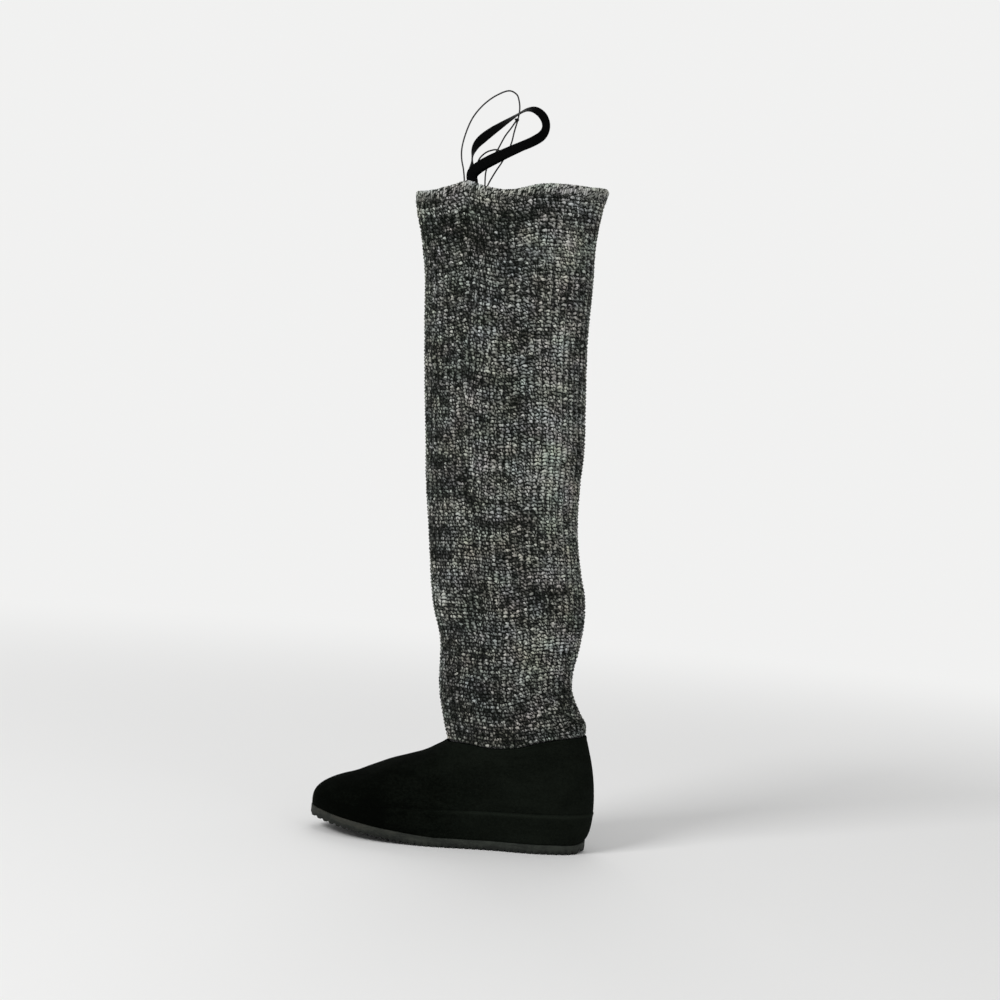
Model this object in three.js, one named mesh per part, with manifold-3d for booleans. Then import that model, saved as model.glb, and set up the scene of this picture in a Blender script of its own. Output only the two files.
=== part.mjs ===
// Left over-the-knee pull-on boot: a suede foot on a suede-wrapped platform, a ribbed rubber outsole and a
// long slack knit shaft with a ribbon pull loop and thin threads at its collar.
//
// Millimetres. +X runs from the heel to the toe, +Y is the outer (lateral) side, +Z is up, and the sole
// stands on Z = 0. X is counted from behind the heel here; the group at the end moves the origin to the
// heel's tread.
import * as THREE from 'three';
import Module from 'manifold-3d';
import { LoftGeometry } from 'three/addons/geometries/LoftGeometry.js';
import { mergeVertices } from 'three/addons/utils/BufferGeometryUtils.js';

// ---------------------------------------------------------------- driving dimensions
const SOLE_LENGTH = 265; // from the sole's back at X = 0; the heel bulges a little behind it
const BALL_WIDTH = 93;
const CLEARANCE = 0.3; // between pieces that meet
const HEEL_RIB = 5; // the rib under the heel whose land holds the origin

const OUTSOLE_THICKNESS = 8.8;
const OUTSOLE_LIP = 0.6; // how far the outsole stands out of the platform
const RIB_PITCH = 6.5;
const RIB_LAND = 3.6; // a rib's flat crest
const RIB_ROOT = 1.8; // the flat between two ribs
const RIB_DEPTH = 1.6;
const SPRING_START_X = 143; // the sole is flat from the heel to here, then rises to the toe
const SPRING_EASE = 16; // how gently it leaves the flat; the rest of the rise is nearly straight
const TOE_SPRING = 13;
const HEEL_BEVEL_X = 12;
const HEEL_BEVEL_RADIUS = 40;

const UPPER_WALL = 2.2;
const INSOLE_THICKNESS = 3;
const INSOLE_PLAY = 1.2; // between the insole and the upper
const KNIT_WALL = 3;
const THROAT_CLEARANCE = 0.5; // the knit's lower edge over the suede's wavy one
const HEM_STEP = 0.9; // the knit's hem is thicker than the rest of the shaft
const HEM_HEIGHT = 11;

const RIBBON_WIDTH = 9.3;
const RIBBON_THICKNESS = 0.9;
const THREAD_DIAMETER = 1.5;

// Faces round each form and along it. AROUND_FOOT is even, so that each place has one across from it.
const AROUND_FOOT = 60;
const PLATFORM_STEPS = 3;
const UPPER_STEPS = 12;
const AROUND_SHAFT = 44;
const SHAFT_STEPS = 22;
const RIBBON_STEPS = 64;
const THREAD_STEPS = 44;

// ---------------------------------------------------------------- tables
// Rows of numbers under the names of their columns.
function table(names, ...rows) {
  const keys = names.split(' ');
  return rows.map((row) => Object.fromEntries(keys.map((key, i) => [key, row[i]])));
}

// The last, one row for each place round the feather line, where the suede meets the outsole.
// along and across are shares of SOLE_LENGTH and BALL_WIDTH. angle is the place on the throat where the
// meridian from there ends, in degrees from the front. The meridian's wall is wallOut outside the feather
// line at wallRise above it, its shoulder is shoulderOut from that line at the height shoulderZ, and it
// comes up to the throat from reach away and drop below.
const LAST = table(
  'along across angle wallOut wallRise shoulderOut shoulderZ reach drop',
  [0.000, 0.010, 180, 7.6, 9, 6.4, 68, 6, 19], // the heel's back
  [0.042, 0.240, 153, 5.5, 11, 4.7, 64, 5, 20],
  [0.143, 0.355, 122, 2.5, 15, 3.0, 59, 3, 22], // the heel's outer side
  [0.355, 0.390, 72, 2.0, 16, 2.0, 54, 2, 20], // the waist
  [0.606, 0.475, 38, 2.0, 18, -6.0, 58, 15, 14], // the outer ball
  [0.780, 0.455, 24, 2.0, 17, -8.5, 52, 24, 18],
  [0.915, 0.275, 12, 2.0, 15.5, -9.0, 49.5, 31, 18.5],
  [1.000, -0.086, 0, 1.6, 15, -8.8, 49.5, 34, 18.5], // the toe
  [0.961, -0.376, -11, 2.0, 15.5, -9.2, 49.5, 31, 18.5],
  [0.857, -0.495, -20, 2.0, 17, -8.5, 52, 26, 18],
  [0.700, -0.515, -31, 2.0, 17, -7.0, 58, 18, 16], // the inner ball
  [0.432, -0.350, -62, 1.5, 16, 0.0, 60, 3, 20], // the arch
  [0.143, -0.344, -122, 2.5, 15, 3.0, 59, 3, 22], // the heel's inner side
  [0.042, -0.226, -153, 5.5, 11, 4.7, 64, 5, 20],
);
const TOE_ROW = 7;

// The seam between the platform and the upper: its height along the sole.
const SEAM = table(
  'x z',
  [-12, 39.5],
  [50, 38],
  [116, 36.5],
  [180, 34],
  [225, 30.5],
  [275, 29],
);

// The throat, where the suede ends and the knit begins: its height round the ankle, in degrees from the
// front.
const THROAT = table(
  'angle z',
  [0, 95.5],
  [50, 97],
  [74, 95.5],
  [90, 98],
  [104, 103.5],
  [120, 107.5],
  [150, 110.5],
  [180, 111],
  [210, 110.5],
  [240, 107.5],
  [256, 103.5],
  [270, 98],
  [286, 95.5],
  [310, 97],
);

// The collar's rim, in the same way. It rises at the ribbon and sags a little behind it.
const COLLAR = table(
  'angle z',
  [0, 618.5],
  [44, 618.5],
  [55, 622],
  [64, 626.5],
  [75, 623],
  [87, 620.5],
  [104, 629],
  [122, 631.5],
  [140, 632],
  [162, 634],
  [180, 634],
  [215, 633.5],
  [250, 629],
  [280, 625],
  [320, 620],
);

// The shaft's sections, from the ankle up: the oval's front, its back and half its width.
const SHAFT = table(
  'z front back half',
  [94, 139.2, 6.8, 37.5],
  [112, 144.8, 7, 38],
  [122, 147.4, 7.9, 38], // the slack that sits on the suede
  [132, 150, 14, 37.5],
  [152, 153.3, 22, 36],
  [172, 154.2, 23.6, 35.5], // the dent above the heel
  [195, 156.3, 20, 37],
  [216, 162.9, 17.8, 39], // the fold over it
  [240, 168.3, 18.7, 39.5],
  [270, 172.5, 25.8, 39.5],
  [305, 177.3, 31.5, 40.5],
  [350, 183.5, 33, 41],
  [382, 186.4, 32, 41],
  [430, 191.5, 34.7, 41],
  [490, 197, 38, 41],
  [545, 201.7, 37.5, 41.5],
  [580, 208.4, 38, 42],
  [606, 214.8, 35.6, 42.5],
  [637, 213.8, 30, 42.5],
);
const OVAL_POWER = 2.25; // 2 is an ellipse; the slack tube's sides are a little flatter

// The ribbon pull loop above the collar: the band's centre line, and its turn about that line from
// edge-on to the outer side, in degrees.
const RIBBON = table(
  'x y z turn',
  [163, 30, 634.5, 70],
  [163.7, 29, 641, 44],
  [163.8, 28.3, 647.5, 20],
  [163.6, 28, 652.5, 23],
  [162.8, 28, 657.5, 44],
  [160.5, 28, 663.5, 67],
  [155.5, 28, 669.7, 84],
  [147.3, 27.6, 677.4, 72],
  [139, 27.2, 684.2, 54],
  [130.7, 27, 690.7, 38],
  [122.9, 27, 696.5, 27],
  [115.7, 27, 700.7, 35],
  [108.5, 27.2, 701.1, 52],
  [101.4, 27.6, 696.8, 58],
  [97.4, 28.2, 690, 50],
  [96.9, 29, 683.2, 44],
  [99.7, 30, 677, 57],
  [106.8, 31.4, 671, 80],
  [128, 33.6, 659.3, 90],
  [147, 34.6, 648.7, 90],
  [157.5, 35, 641.2, 90],
  [162.6, 35.2, 635.6, 90],
  [163, 35.4, 631, 90],
);
const TAIL_ANGLE = 66.5; // where the ribbon's tails lie inside the collar, in degrees from the front
const TAIL_DEPTHS = [0, 10, 20]; // below the collar's rim
const TAIL_OUTER = 1.1; // the two tails' centre lines, in from the knit
const TAIL_INNER = 3.5;

// The thin threads at the collar. Each leaves the knit's inside at the angle from, and the loop goes back
// in at the angle to. seat is how far in from the knit its centre line lies there.
const THREADS = {
  thread_loop: {
    from: 61,
    to: 76.8,
    seat: 1.2,
    points: [
      [171, 31.5, 638], [173.6, 28.5, 648], [174.5, 25.5, 659], [171.8, 21.5, 676],
      [166.4, 18.4, 691.7], [156.9, 16.2, 705.4], [145.3, 15, 715.3], [134.1, 15.3, 720],
      [127, 16.4, 716.6], [124.2, 17.8, 709.9], [123.1, 19, 702], [123.8, 20, 693.3],
      [126.4, 20.9, 680], [128.3, 22, 668.4], [135.3, 24.6, 650], [140.6, 28.5, 639.5],
    ],
  },
  thread_tie: {
    from: 75.3,
    seat: 1.2,
    points: [
      [149.8, 32, 630], [149.8, 29.5, 638], [148, 27.3, 646], [144.4, 25.6, 654],
      [140.5, 24.4, 661.3], [134.7, 23.2, 674.7], [129.5, 22.2, 683.3], [125.6, 21.5, 690.3],
    ],
  },
  thread_tail: {
    from: 67.5,
    seat: 5.2, // behind the ribbon's tails
    points: [
      [158.8, 28, 634], [158.9, 27, 640], [158.6, 27, 645.5], [156.8, 27, 650.8], [154, 27, 654.5],
      [150.4, 26.8, 657.6], [146.8, 26.6, 659.3], [143, 26.6, 660.4], [139.7, 26.6, 660.2],
      [137.2, 26.6, 658.4],
    ],
  },
};
const THREAD_DEPTHS = [14, 7, 0]; // below the collar's rim

const FINISH = {
  suede: { color: 0x0d0f0d, roughness: 0.95, metalness: 0 },
  rubber: { color: 0x43474a, roughness: 0.7, metalness: 0 },
  knit: { color: 0x5a5d5a, roughness: 1, metalness: 0 },
  insole: { color: 0x1c1c1b, roughness: 0.9, metalness: 0 },
  ribbon: { color: 0x0a0a0a, roughness: 0.6, metalness: 0 },
};

// ---------------------------------------------------------------- curves through a table
// The place of t between the knots, as [index of the knot before it, share of the way, width of the step].
function stepAt(knots, t) {
  let i = 0;
  while (i < knots.length - 2 && t >= knots[i + 1]) i++;
  const width = knots[i + 1] - knots[i];
  return [i, (t - knots[i]) / width, width];
}

// A smooth curve of values at rising knots. Each slope comes from the rows on either side.
function curveThrough(knots, values) {
  const last = knots.length - 1;
  const rise = (i) => (values[i + 1] - values[i]) / (knots[i + 1] - knots[i]);
  const slope = (i) => {
    if (i === 0) return rise(0);
    if (i === last) return rise(last - 1);
    const [before, after] = [knots[i] - knots[i - 1], knots[i + 1] - knots[i]];
    return (rise(i - 1) * after + rise(i) * before) / (before + after);
  };
  const slopes = knots.map((_, i) => slope(i));
  return (t) => {
    const [i, s, width] = stepAt(knots, Math.min(Math.max(t, knots[0]), knots[last]));
    const [s2, s3] = [s * s, s * s * s];
    return (2 * s3 - 3 * s2 + 1) * values[i] + (s3 - 2 * s2 + s) * width * slopes[i]
      + (3 * s2 - 2 * s3) * values[i + 1] + (s3 - s2) * width * slopes[i + 1];
  };
}

// The same through a table that goes round and starts again after a period.
function curveRound(knots, values, period) {
  const rounds = [-period, 0, period];
  const curve = curveThrough(
    rounds.flatMap((offset) => knots.map((knot) => knot + offset)),
    rounds.flatMap(() => values),
  );
  return (t) => curve(((t % period) + period) % period);
}

const column = (table, name) => table.map((row) => row[name]);
const radians = THREE.MathUtils.degToRad;

// ---------------------------------------------------------------- the sole's side profile
function soleBottomZ(x) {
  if (x < HEEL_BEVEL_X) {
    return HEEL_BEVEL_RADIUS - Math.sqrt(HEEL_BEVEL_RADIUS ** 2 - (HEEL_BEVEL_X - x) ** 2);
  }
  if (x < SPRING_START_X) return 0;
  const climb = (ahead) => ahead ** 2 / (ahead + SPRING_EASE);
  return TOE_SPRING * climb(x - SPRING_START_X) / climb(SOLE_LENGTH - SPRING_START_X);
}
const soleTopZ = (x) => soleBottomZ(x) + OUTSOLE_THICKNESS;
const seamZ = curveThrough(column(SEAM, 'x'), column(SEAM, 'z'));

// ---------------------------------------------------------------- the shaft's oval
const shaftFront = curveThrough(column(SHAFT, 'z'), column(SHAFT, 'front'));
const shaftBack = curveThrough(column(SHAFT, 'z'), column(SHAFT, 'back'));
const shaftHalf = curveThrough(column(SHAFT, 'z'), column(SHAFT, 'half'));
const throatZ = curveRound(column(THROAT, 'angle'), column(THROAT, 'z'), 360);
const collarZ = curveRound(column(COLLAR, 'angle'), column(COLLAR, 'z'), 360);

// A point of the shaft at an angle from the front, at a height, and inset from its outer face.
function ovalPoint(angle, z, inset = 0) {
  const [front, back, half] = [shaftFront(z), shaftBack(z), shaftHalf(z)];
  const rounded = (share) => Math.sign(share) * Math.abs(share) ** (2 / OVAL_POWER);
  return new THREE.Vector3(
    (front + back) / 2 + ((front - back) / 2 - inset) * rounded(Math.cos(radians(angle))),
    (half - inset) * rounded(Math.sin(radians(angle))),
    z,
  );
}

// ---------------------------------------------------------------- the foot's surface
// How far round the feather line each row is, from 0 at the heel's back through 0.5 at the toe's tip to 1.
function turnsRound(points, halfway) {
  const steps = points.map((point, i) => point.distanceTo(points[(i + 1) % points.length]));
  const sum = (from, to) => steps.slice(from, to).reduce((total, step) => total + step, 0);
  const [outer, inner] = [sum(0, halfway), sum(halfway, points.length)];
  return points.map((_, i) => {
    if (i < halfway) return (0.5 * sum(0, i)) / outer;
    return 0.5 + (0.5 * sum(halfway, i)) / inner;
  });
}

const featherPoints = LAST.map(
  (row) => new THREE.Vector2(row.along * SOLE_LENGTH, row.across * BALL_WIDTH),
);
const turns = turnsRound(featherPoints, TOE_ROW);
const featherX = curveRound(turns, column(featherPoints, 'x'), 1);
const featherY = curveRound(turns, column(featherPoints, 'y'), 1);
const lastCurve = (name) => curveRound(turns, column(LAST, name), 1);
const [wallOut, wallRise] = [lastCurve('wallOut'), lastCurve('wallRise')];
const [shoulderOut, shoulderZ] = [lastCurve('shoulderOut'), lastCurve('shoulderZ')];
const [reach, drop] = [lastCurve('reach'), lastCurve('drop')];
// The angle falls by 360 in one turn, so only its lead over an even fall goes round.
const angleLead = curveRound(turns, LAST.map((row, i) => row.angle - (180 - 360 * turns[i])), 1);
const throatAngle = (turn) => 180 - 360 * turn + angleLead(turn);

// The feather line's point and its outward direction, flat on the ground.
function feather(turn) {
  const small = 1e-4;
  const point = new THREE.Vector3(featherX(turn), featherY(turn), 0);
  const along = new THREE.Vector3(
    featherX(turn + small) - featherX(turn - small),
    featherY(turn + small) - featherY(turn - small),
    0,
  ).normalize();
  return { point, outward: new THREE.Vector3(-along.y, along.x, 0) };
}

// The curve up the foot from the outsole to the throat.
function meridian(turn) {
  const { point, outward } = feather(turn);
  const offset = (out, z) => point.clone().addScaledVector(outward, out).setZ(z);
  const base = soleTopZ(point.x) + CLEARANCE;
  const throat = ovalPoint(throatAngle(turn), throatZ(throatAngle(turn)));
  const towardsFeather = point.clone().sub(throat).setZ(0).normalize();
  const wall = offset(wallOut(turn), base + wallRise(turn));
  const shoulder = offset(shoulderOut(turn), shoulderZ(turn));
  const instep = throat.clone().addScaledVector(towardsFeather, reach(turn)).setZ(throat.z - drop(turn));
  const low = wall.clone().lerp(shoulder, 0.5);
  const high = shoulder.clone().lerp(instep, 0.5);
  const middle = low.clone().lerp(high, 0.5);
  const path = new THREE.CurvePath();
  path.add(new THREE.CubicBezierCurve3(offset(0, base), wall, low, middle));
  path.add(new THREE.CubicBezierCurve3(middle, high, instep, throat));
  return path;
}

const meridians = new Map();
function footPoint(turn, share) {
  if (!meridians.has(turn)) meridians.set(turn, meridian(turn));
  return meridians.get(turn).getPoint(share);
}

// A point of the foot, moved in along the surface's normal.
function footInset(turn, share, inset) {
  const small = 1e-3;
  const point = footPoint(turn, share);
  if (inset === 0) return point;
  const around = footPoint(turn + small, share).sub(footPoint(turn - small, share));
  const up = footPoint(turn, Math.min(share + small, 1)).sub(footPoint(turn, Math.max(share - small, 0)));
  return point.addScaledVector(around.cross(up).normalize(), inset);
}

// The share of the way up the foot where it is lift above the seam.
function shareAbove(turn, lift, inset) {
  let [low, high] = [0, 0.6];
  for (let i = 0; i < 22; i++) {
    const share = (low + high) / 2;
    const point = footInset(turn, share, inset);
    if (point.z < seamZ(point.x) + lift) low = share;
    else high = share;
  }
  return (low + high) / 2;
}

// ---------------------------------------------------------------- solids
const wasm = await Module();
wasm.setup();

// The geometry with its vertices joined, its empty faces left out and its faces turned outwards.
function closedBody(geometry) {
  const bare = new THREE.BufferGeometry().setAttribute('position', geometry.getAttribute('position'));
  bare.setIndex(geometry.index);
  const joined = mergeVertices(bare, 1e-3);
  const corner = [0, 1, 2].map(() => new THREE.Vector3());
  const faces = [];
  let volume = 0;
  for (let i = 0; i < joined.index.count; i += 3) {
    const face = [0, 1, 2].map((k) => joined.index.getX(i + k));
    if (new Set(face).size < 3) continue;
    face.forEach((vertex, k) => corner[k].fromBufferAttribute(joined.attributes.position, vertex));
    volume += corner[0].dot(corner[1].clone().cross(corner[2])) / 6;
    faces.push(face);
  }
  joined.setIndex(faces.flatMap((face) => (volume < 0 ? face.reverse() : face)));
  joined.computeVertexNormals();
  return joined;
}

function solidOf(geometry) {
  const body = closedBody(geometry);
  return new wasm.Manifold(new wasm.Mesh({
    numProp: 3,
    vertProperties: new Float32Array(body.attributes.position.array),
    triVerts: new Uint32Array(body.index.array),
  }));
}

function geometryOf(solid) {
  const mesh = solid.getMesh();
  const geometry = new THREE.BufferGeometry();
  geometry.setAttribute('position', new THREE.BufferAttribute(mesh.vertProperties, 3));
  geometry.setIndex(new THREE.BufferAttribute(mesh.triVerts, 1));
  geometry.computeVertexNormals();
  return geometry;
}

const shares = (count) => Array.from({ length: count + 1 }, (_, i) => i / count);
const turnsOfFoot = shares(AROUND_FOOT).slice(0, -1);

// A ring-shaped wall: its rings run up the outside and down the inside, and close on the first.
const wallBody = (rings) => closedBody(new LoftGeometry([...rings, rings[0]]));

// A block across the foot: sections run from the heel's back, where both sides meet, to the toe's tip.
// columnAt(turn) gives a side's points from the bottom to the top.
function blockAcross(columnAt) {
  const sections = shares(AROUND_FOOT / 2).map((share) => {
    const [outer, inner] = [columnAt(share / 2), columnAt((1 - share / 2) % 1)];
    return [...outer, ...inner.reverse()];
  });
  return closedBody(new LoftGeometry(sections));
}

// ---------------------------------------------------------------- the pieces
function outsole() {
  const wall = (turn, z) => {
    const { point, outward } = feather(turn);
    return point.addScaledVector(outward, OUTSOLE_LIP).setZ(z);
  };
  const outline = blockAcross((turn) => [wall(turn, -10), wall(turn, 40)]);

  // The side profile: ribs along the bottom, from the heel to the toe, and the smooth top back again.
  const end = SOLE_LENGTH + 8;
  const ribs = Math.ceil(end / RIB_PITCH);
  const slope = (RIB_PITCH - RIB_LAND - RIB_ROOT) / 2;
  const profile = [];
  for (let rib = -1; rib < ribs; rib++) {
    const start = rib * RIB_PITCH;
    const corners = [[0, 0], [RIB_LAND, 0], [RIB_LAND + slope, RIB_DEPTH], [RIB_PITCH - slope, RIB_DEPTH]];
    corners.forEach(([x, z]) => profile.push(new THREE.Vector2(start + x, soleBottomZ(start) + z)));
  }
  for (let rib = ribs; rib >= -1; rib--) {
    profile.push(new THREE.Vector2(rib * RIB_PITCH, soleTopZ(rib * RIB_PITCH)));
  }
  const depth = 2 * BALL_WIDTH;
  const side = new THREE.ExtrudeGeometry(new THREE.Shape(profile), { depth, bevelEnabled: false });
  side.rotateX(Math.PI / 2).translate(0, depth / 2, 0);
  return geometryOf(solidOf(outline).intersect(solidOf(side)));
}

function platform() {
  return blockAcross((turn) => {
    const top = shareAbove(turn, 0, 0);
    return shares(PLATFORM_STEPS).map((share) => footPoint(turn, share * top));
  });
}

function upper() {
  const ring = (place, inset) => turnsOfFoot.map((turn) => {
    const bottom = shareAbove(turn, CLEARANCE, inset);
    return footInset(turn, bottom + (1 - bottom) * place, inset);
  });
  const places = shares(UPPER_STEPS);
  return wallBody([
    ...places.map((place) => ring(place, 0)),
    ...places.reverse().map((place) => ring(place, UPPER_WALL)),
  ]);
}

function insole() {
  const inset = UPPER_WALL + INSOLE_PLAY;
  const edge = (turn, lift) => footInset(turn, shareAbove(turn, lift, inset), inset);
  return blockAcross((turn) => [edge(turn, CLEARANCE), edge(turn, CLEARANCE + INSOLE_THICKNESS)]);
}

function shaft() {
  const angles = shares(AROUND_SHAFT).slice(0, -1).map((share) => share * 360);
  const bottom = (angle) => throatZ(angle) + THROAT_CLEARANCE;
  const hem = (angle) => collarZ(angle) - HEM_HEIGHT;
  const below = (share) => (angle) => bottom(angle) + share * (hem(angle) - bottom(angle));
  const ring = (height, inset) => angles.map((angle) => ovalPoint(angle, height(angle), inset));
  const steps = shares(SHAFT_STEPS);
  const slack = (angle) => hem(angle) + HEM_STEP;
  return wallBody([
    ...steps.map((share) => ring(below(share), 0)),
    ring(slack, -HEM_STEP),
    ring((angle) => collarZ(angle) - HEM_STEP, -HEM_STEP),
    ring(collarZ, 0),
    ring(collarZ, KNIT_WALL),
    ...steps.reverse().map((share) => ring(below(share), KNIT_WALL)),
  ]);
}

// A point just inside the collar, from the knit's inner face and below the rim.
const insideCollar = (angle, depth, gap) => ovalPoint(angle, collarZ(angle) - depth, KNIT_WALL + gap);

function ribbon() {
  const tail = (gap) => TAIL_DEPTHS.map((depth) => insideCollar(TAIL_ANGLE, depth, gap));
  const loop = RIBBON.map((row) => new THREE.Vector3(row.x, row.y, row.z));
  const points = [...tail(TAIL_INNER).reverse(), ...loop, ...tail(TAIL_OUTER)];
  const flat = TAIL_DEPTHS.map(() => 90);
  const turnAt = curveThrough(points.map((_, i) => i), [...flat, ...column(RIBBON, 'turn'), ...flat]);
  const path = new THREE.CatmullRomCurve3(points);
  // The knit's outward direction at the tails, which the flat band faces there.
  const small = 1;
  const along = insideCollar(TAIL_ANGLE + small, 0, 0).sub(insideCollar(TAIL_ANGLE - small, 0, 0)).setZ(0);
  const outward = new THREE.Vector3(along.y, -along.x, 0).normalize();
  const sections = shares(RIBBON_STEPS).map((share) => {
    const middle = path.getPoint(share);
    const tangent = path.getTangent(share);
    const edgeOn = outward.clone().addScaledVector(tangent, -outward.dot(tangent)).normalize();
    const across = edgeOn.applyAxisAngle(tangent, radians(turnAt(share * (points.length - 1))));
    const through = new THREE.Vector3().crossVectors(tangent, across);
    const [wide, thick] = [RIBBON_WIDTH / 2, RIBBON_THICKNESS / 2];
    return [[-wide, -thick], [wide, -thick], [wide, thick], [-wide, thick]].map(([u, v]) =>
      middle.clone().addScaledVector(across, u).addScaledVector(through, v));
  });
  return closedBody(new LoftGeometry(sections, { capStart: true, capEnd: true }));
}

function thread({ from, to, seat, points }) {
  const inside = (angle) => THREAD_DEPTHS.map((depth) => insideCollar(angle, depth, seat));
  const route = points.map((point) => new THREE.Vector3(...point));
  const start = inside(from);
  const end = to ? inside(to).reverse() : [];
  const section = new THREE.Shape().absarc(0, 0, THREAD_DIAMETER / 2, 0, 2 * Math.PI);
  return closedBody(new THREE.ExtrudeGeometry(section, {
    extrudePath: new THREE.CatmullRomCurve3([...start, ...route, ...end]),
    steps: THREAD_STEPS,
    curveSegments: 4,
  }));
}

// ---------------------------------------------------------------- the boot
const boot = new THREE.Group();
function addPiece(name, geometry, finish) {
  const piece = new THREE.Mesh(geometry, new THREE.MeshStandardMaterial(finish));
  piece.name = name;
  boot.add(piece);
}
addPiece('outsole', outsole(), FINISH.rubber);
addPiece('platform', platform(), FINISH.suede);
addPiece('upper', upper(), FINISH.suede);
addPiece('insole', insole(), FINISH.insole);
addPiece('shaft', shaft(), FINISH.knit);
addPiece('pull_loop', ribbon(), FINISH.ribbon);
Object.entries(THREADS).forEach(([name, route]) => addPiece(name, thread(route), FINISH.ribbon));

boot.position.x = -(HEEL_RIB * RIB_PITCH + RIB_LAND / 2);
export default boot;
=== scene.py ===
"""Looks of the left over-the-knee pull-on boot: a rib-knit shaft, a suede foot and platform, a ribbed rubber
outsole, a ribbon pull loop and three thin threads.

The tables and sizes below are those of the part: millimetres, X counted from the sole's back, +Y the outer
side, +Z up. to_frame() turns them into the frame's metres. Finer shapes come from the same functions as the
part's solids, with the knit, creases, edges and seams added.
"""
import math

import bmesh
import bpy
import numpy as np
from mathutils import Matrix, Vector


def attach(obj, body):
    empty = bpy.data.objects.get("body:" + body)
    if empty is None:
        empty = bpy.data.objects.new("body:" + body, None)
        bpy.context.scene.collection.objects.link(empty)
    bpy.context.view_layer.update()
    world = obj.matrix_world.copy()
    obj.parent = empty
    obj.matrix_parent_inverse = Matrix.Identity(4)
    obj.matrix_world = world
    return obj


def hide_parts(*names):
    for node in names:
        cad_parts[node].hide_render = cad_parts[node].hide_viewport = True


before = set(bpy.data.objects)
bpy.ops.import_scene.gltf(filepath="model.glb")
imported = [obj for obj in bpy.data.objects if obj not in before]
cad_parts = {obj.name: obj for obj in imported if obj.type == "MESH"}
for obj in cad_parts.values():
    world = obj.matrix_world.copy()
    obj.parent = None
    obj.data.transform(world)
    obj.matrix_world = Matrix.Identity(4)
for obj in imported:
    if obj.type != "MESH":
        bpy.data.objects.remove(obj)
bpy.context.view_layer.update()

MM = 0.001
FULL_TURN = 2 * math.pi

# ------------------------------------------------------------------ the part's sizes
SOLE_LENGTH = 265.0
BALL_WIDTH = 93.0
CLEARANCE = 0.3  # between the feather line and the outsole
HEEL_RIB = 5
RIB_PITCH = 6.5
RIB_LAND = 3.6
RIB_ROOT = 1.8
RIB_DEPTH = 1.6
OUTSOLE_THICKNESS = 8.8
OUTSOLE_LIP = 0.6
SPRING_START_X = 143.0
SPRING_EASE = 16.0
TOE_SPRING = 13.0
HEEL_BEVEL_X = 12.0
HEEL_BEVEL_RADIUS = 40.0
UPPER_WALL = 2.2
KNIT_WALL = 3.0
HEM_HEIGHT = 11.0
OVAL_POWER = 2.25
ORIGIN_X = HEEL_RIB * RIB_PITCH + RIB_LAND / 2  # the frame's origin, from the sole's back

# ------------------------------------------------------------------ the knit's sizes
WALES = 56  # ribs round the shaft
COURSES = 157  # rows of stitches up it
STITCH_STEPS = 8  # points along the yarn in one stitch; even, so that one is at the arch's top
ROW_POINTS = WALES * STITCH_STEPS
YARN_SIDES = 5
YARN_WIDE = 1.4  # the yarn's half width along the cloth
YARN_HIGH = 1.0  # and out of it
YARN_THIN = 0.68  # how thin it is pulled between two ribs
YARN_TWIST = 2.3  # turns of its two plies in a stitch
ARCH_RISE = 0.42  # how far a stitch arches up, in courses
RIB_DIVE = 1.3  # how deep the yarn dips between two ribs
ARCH_DIVE = 0.3  # and at the arch's top, where the next stitch holds it
FIRST_COURSE = 0.75  # the first row's height over the throat, in courses
CLEAR_FROM = 0.78  # the share of the way up from which the ribs stand clearer: deeper dips, with more painted shade in them
YARN_INSET = 0.75  # the yarn's centre line at its highest, in from the shaft's outer face
KNIT_PIECES = 4
HEM_LEGS = 4 * WALES  # lengths of yarn side by side in the hem
HEM_POINTS = 12  # along each of them
HEM_SIDES = 6
HEM_DROP = 9.0  # how far they come down on either side of the rim
HEM_CREST = 1.2  # and how much lower their fold's ends lie than its top
FOLD_START = 0.55  # where they fold over the rim, as shares of their length
FOLD_END = 0.73
REVERSE_DIVE = 0.5
REVERSE_PROUD = 0.4  # how much nearer the axis the reverse lies than the face's mirror image
REVERSE_COURSES = 24  # rows shown stitch by stitch on the shaft's inside, down from the collar
GROUND_DEPTH = 2.1  # the cloth behind the ribs, in from the shaft's outer face
HAIRS = 3200  # loose fibres that stand out of the knit
HAIR_RADIUS = 0.055
# How unevenly the yarn lies and is dyed: each time the rows and columns of soft noise, its seed and its size.
UNEVEN = {
    "sway": (14, 9, 12, 0.14),  # of the ribs, in ribs round the shaft
    "shift": (COURSES, 2 * WALES, 16, 0.07),  # of each stitch, the same way
    "hang": (40, 26, 11, 0.22),  # of the courses, in courses up it
    "lift": (COURSES, 2 * WALES, 14, 0.2),  # of each stitch, the same way
    "arch": (COURSES, WALES, 17, 0.25),  # the share by which a stitch's arch is higher or lower
    "long dips": (24, WALES, 18, 0.3),  # the same for the dips between two ribs
    "short dips": (COURSES // 2, WALES, 20, 0.3),
    "depth": (COURSES, 2 * WALES, 13, 0.15),  # in millimetres
    "stitch tone": (COURSES, 2 * WALES, 19, 0.30),
    "patch tone": (COURSES // 2, WALES // 2, 21, 0.26),
    "broad tone": (COURSES // 3, 11, 22, 0.25),
}
HEM_UNEVEN = {
    "shift": (HEM_LEGS, 3, 54, 0.3),  # in lengths of yarn round the rim
    "drop": (HEM_LEGS // 2, 1, 51, 0.3),  # in millimetres, like the next two
    "depth": (HEM_LEGS, 4, 55, 0.2),
    "width": (HEM_LEGS, 4, 52, 0.12),
    "tone": (HEM_LEGS, 6, 53, 0.45),
}

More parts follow.
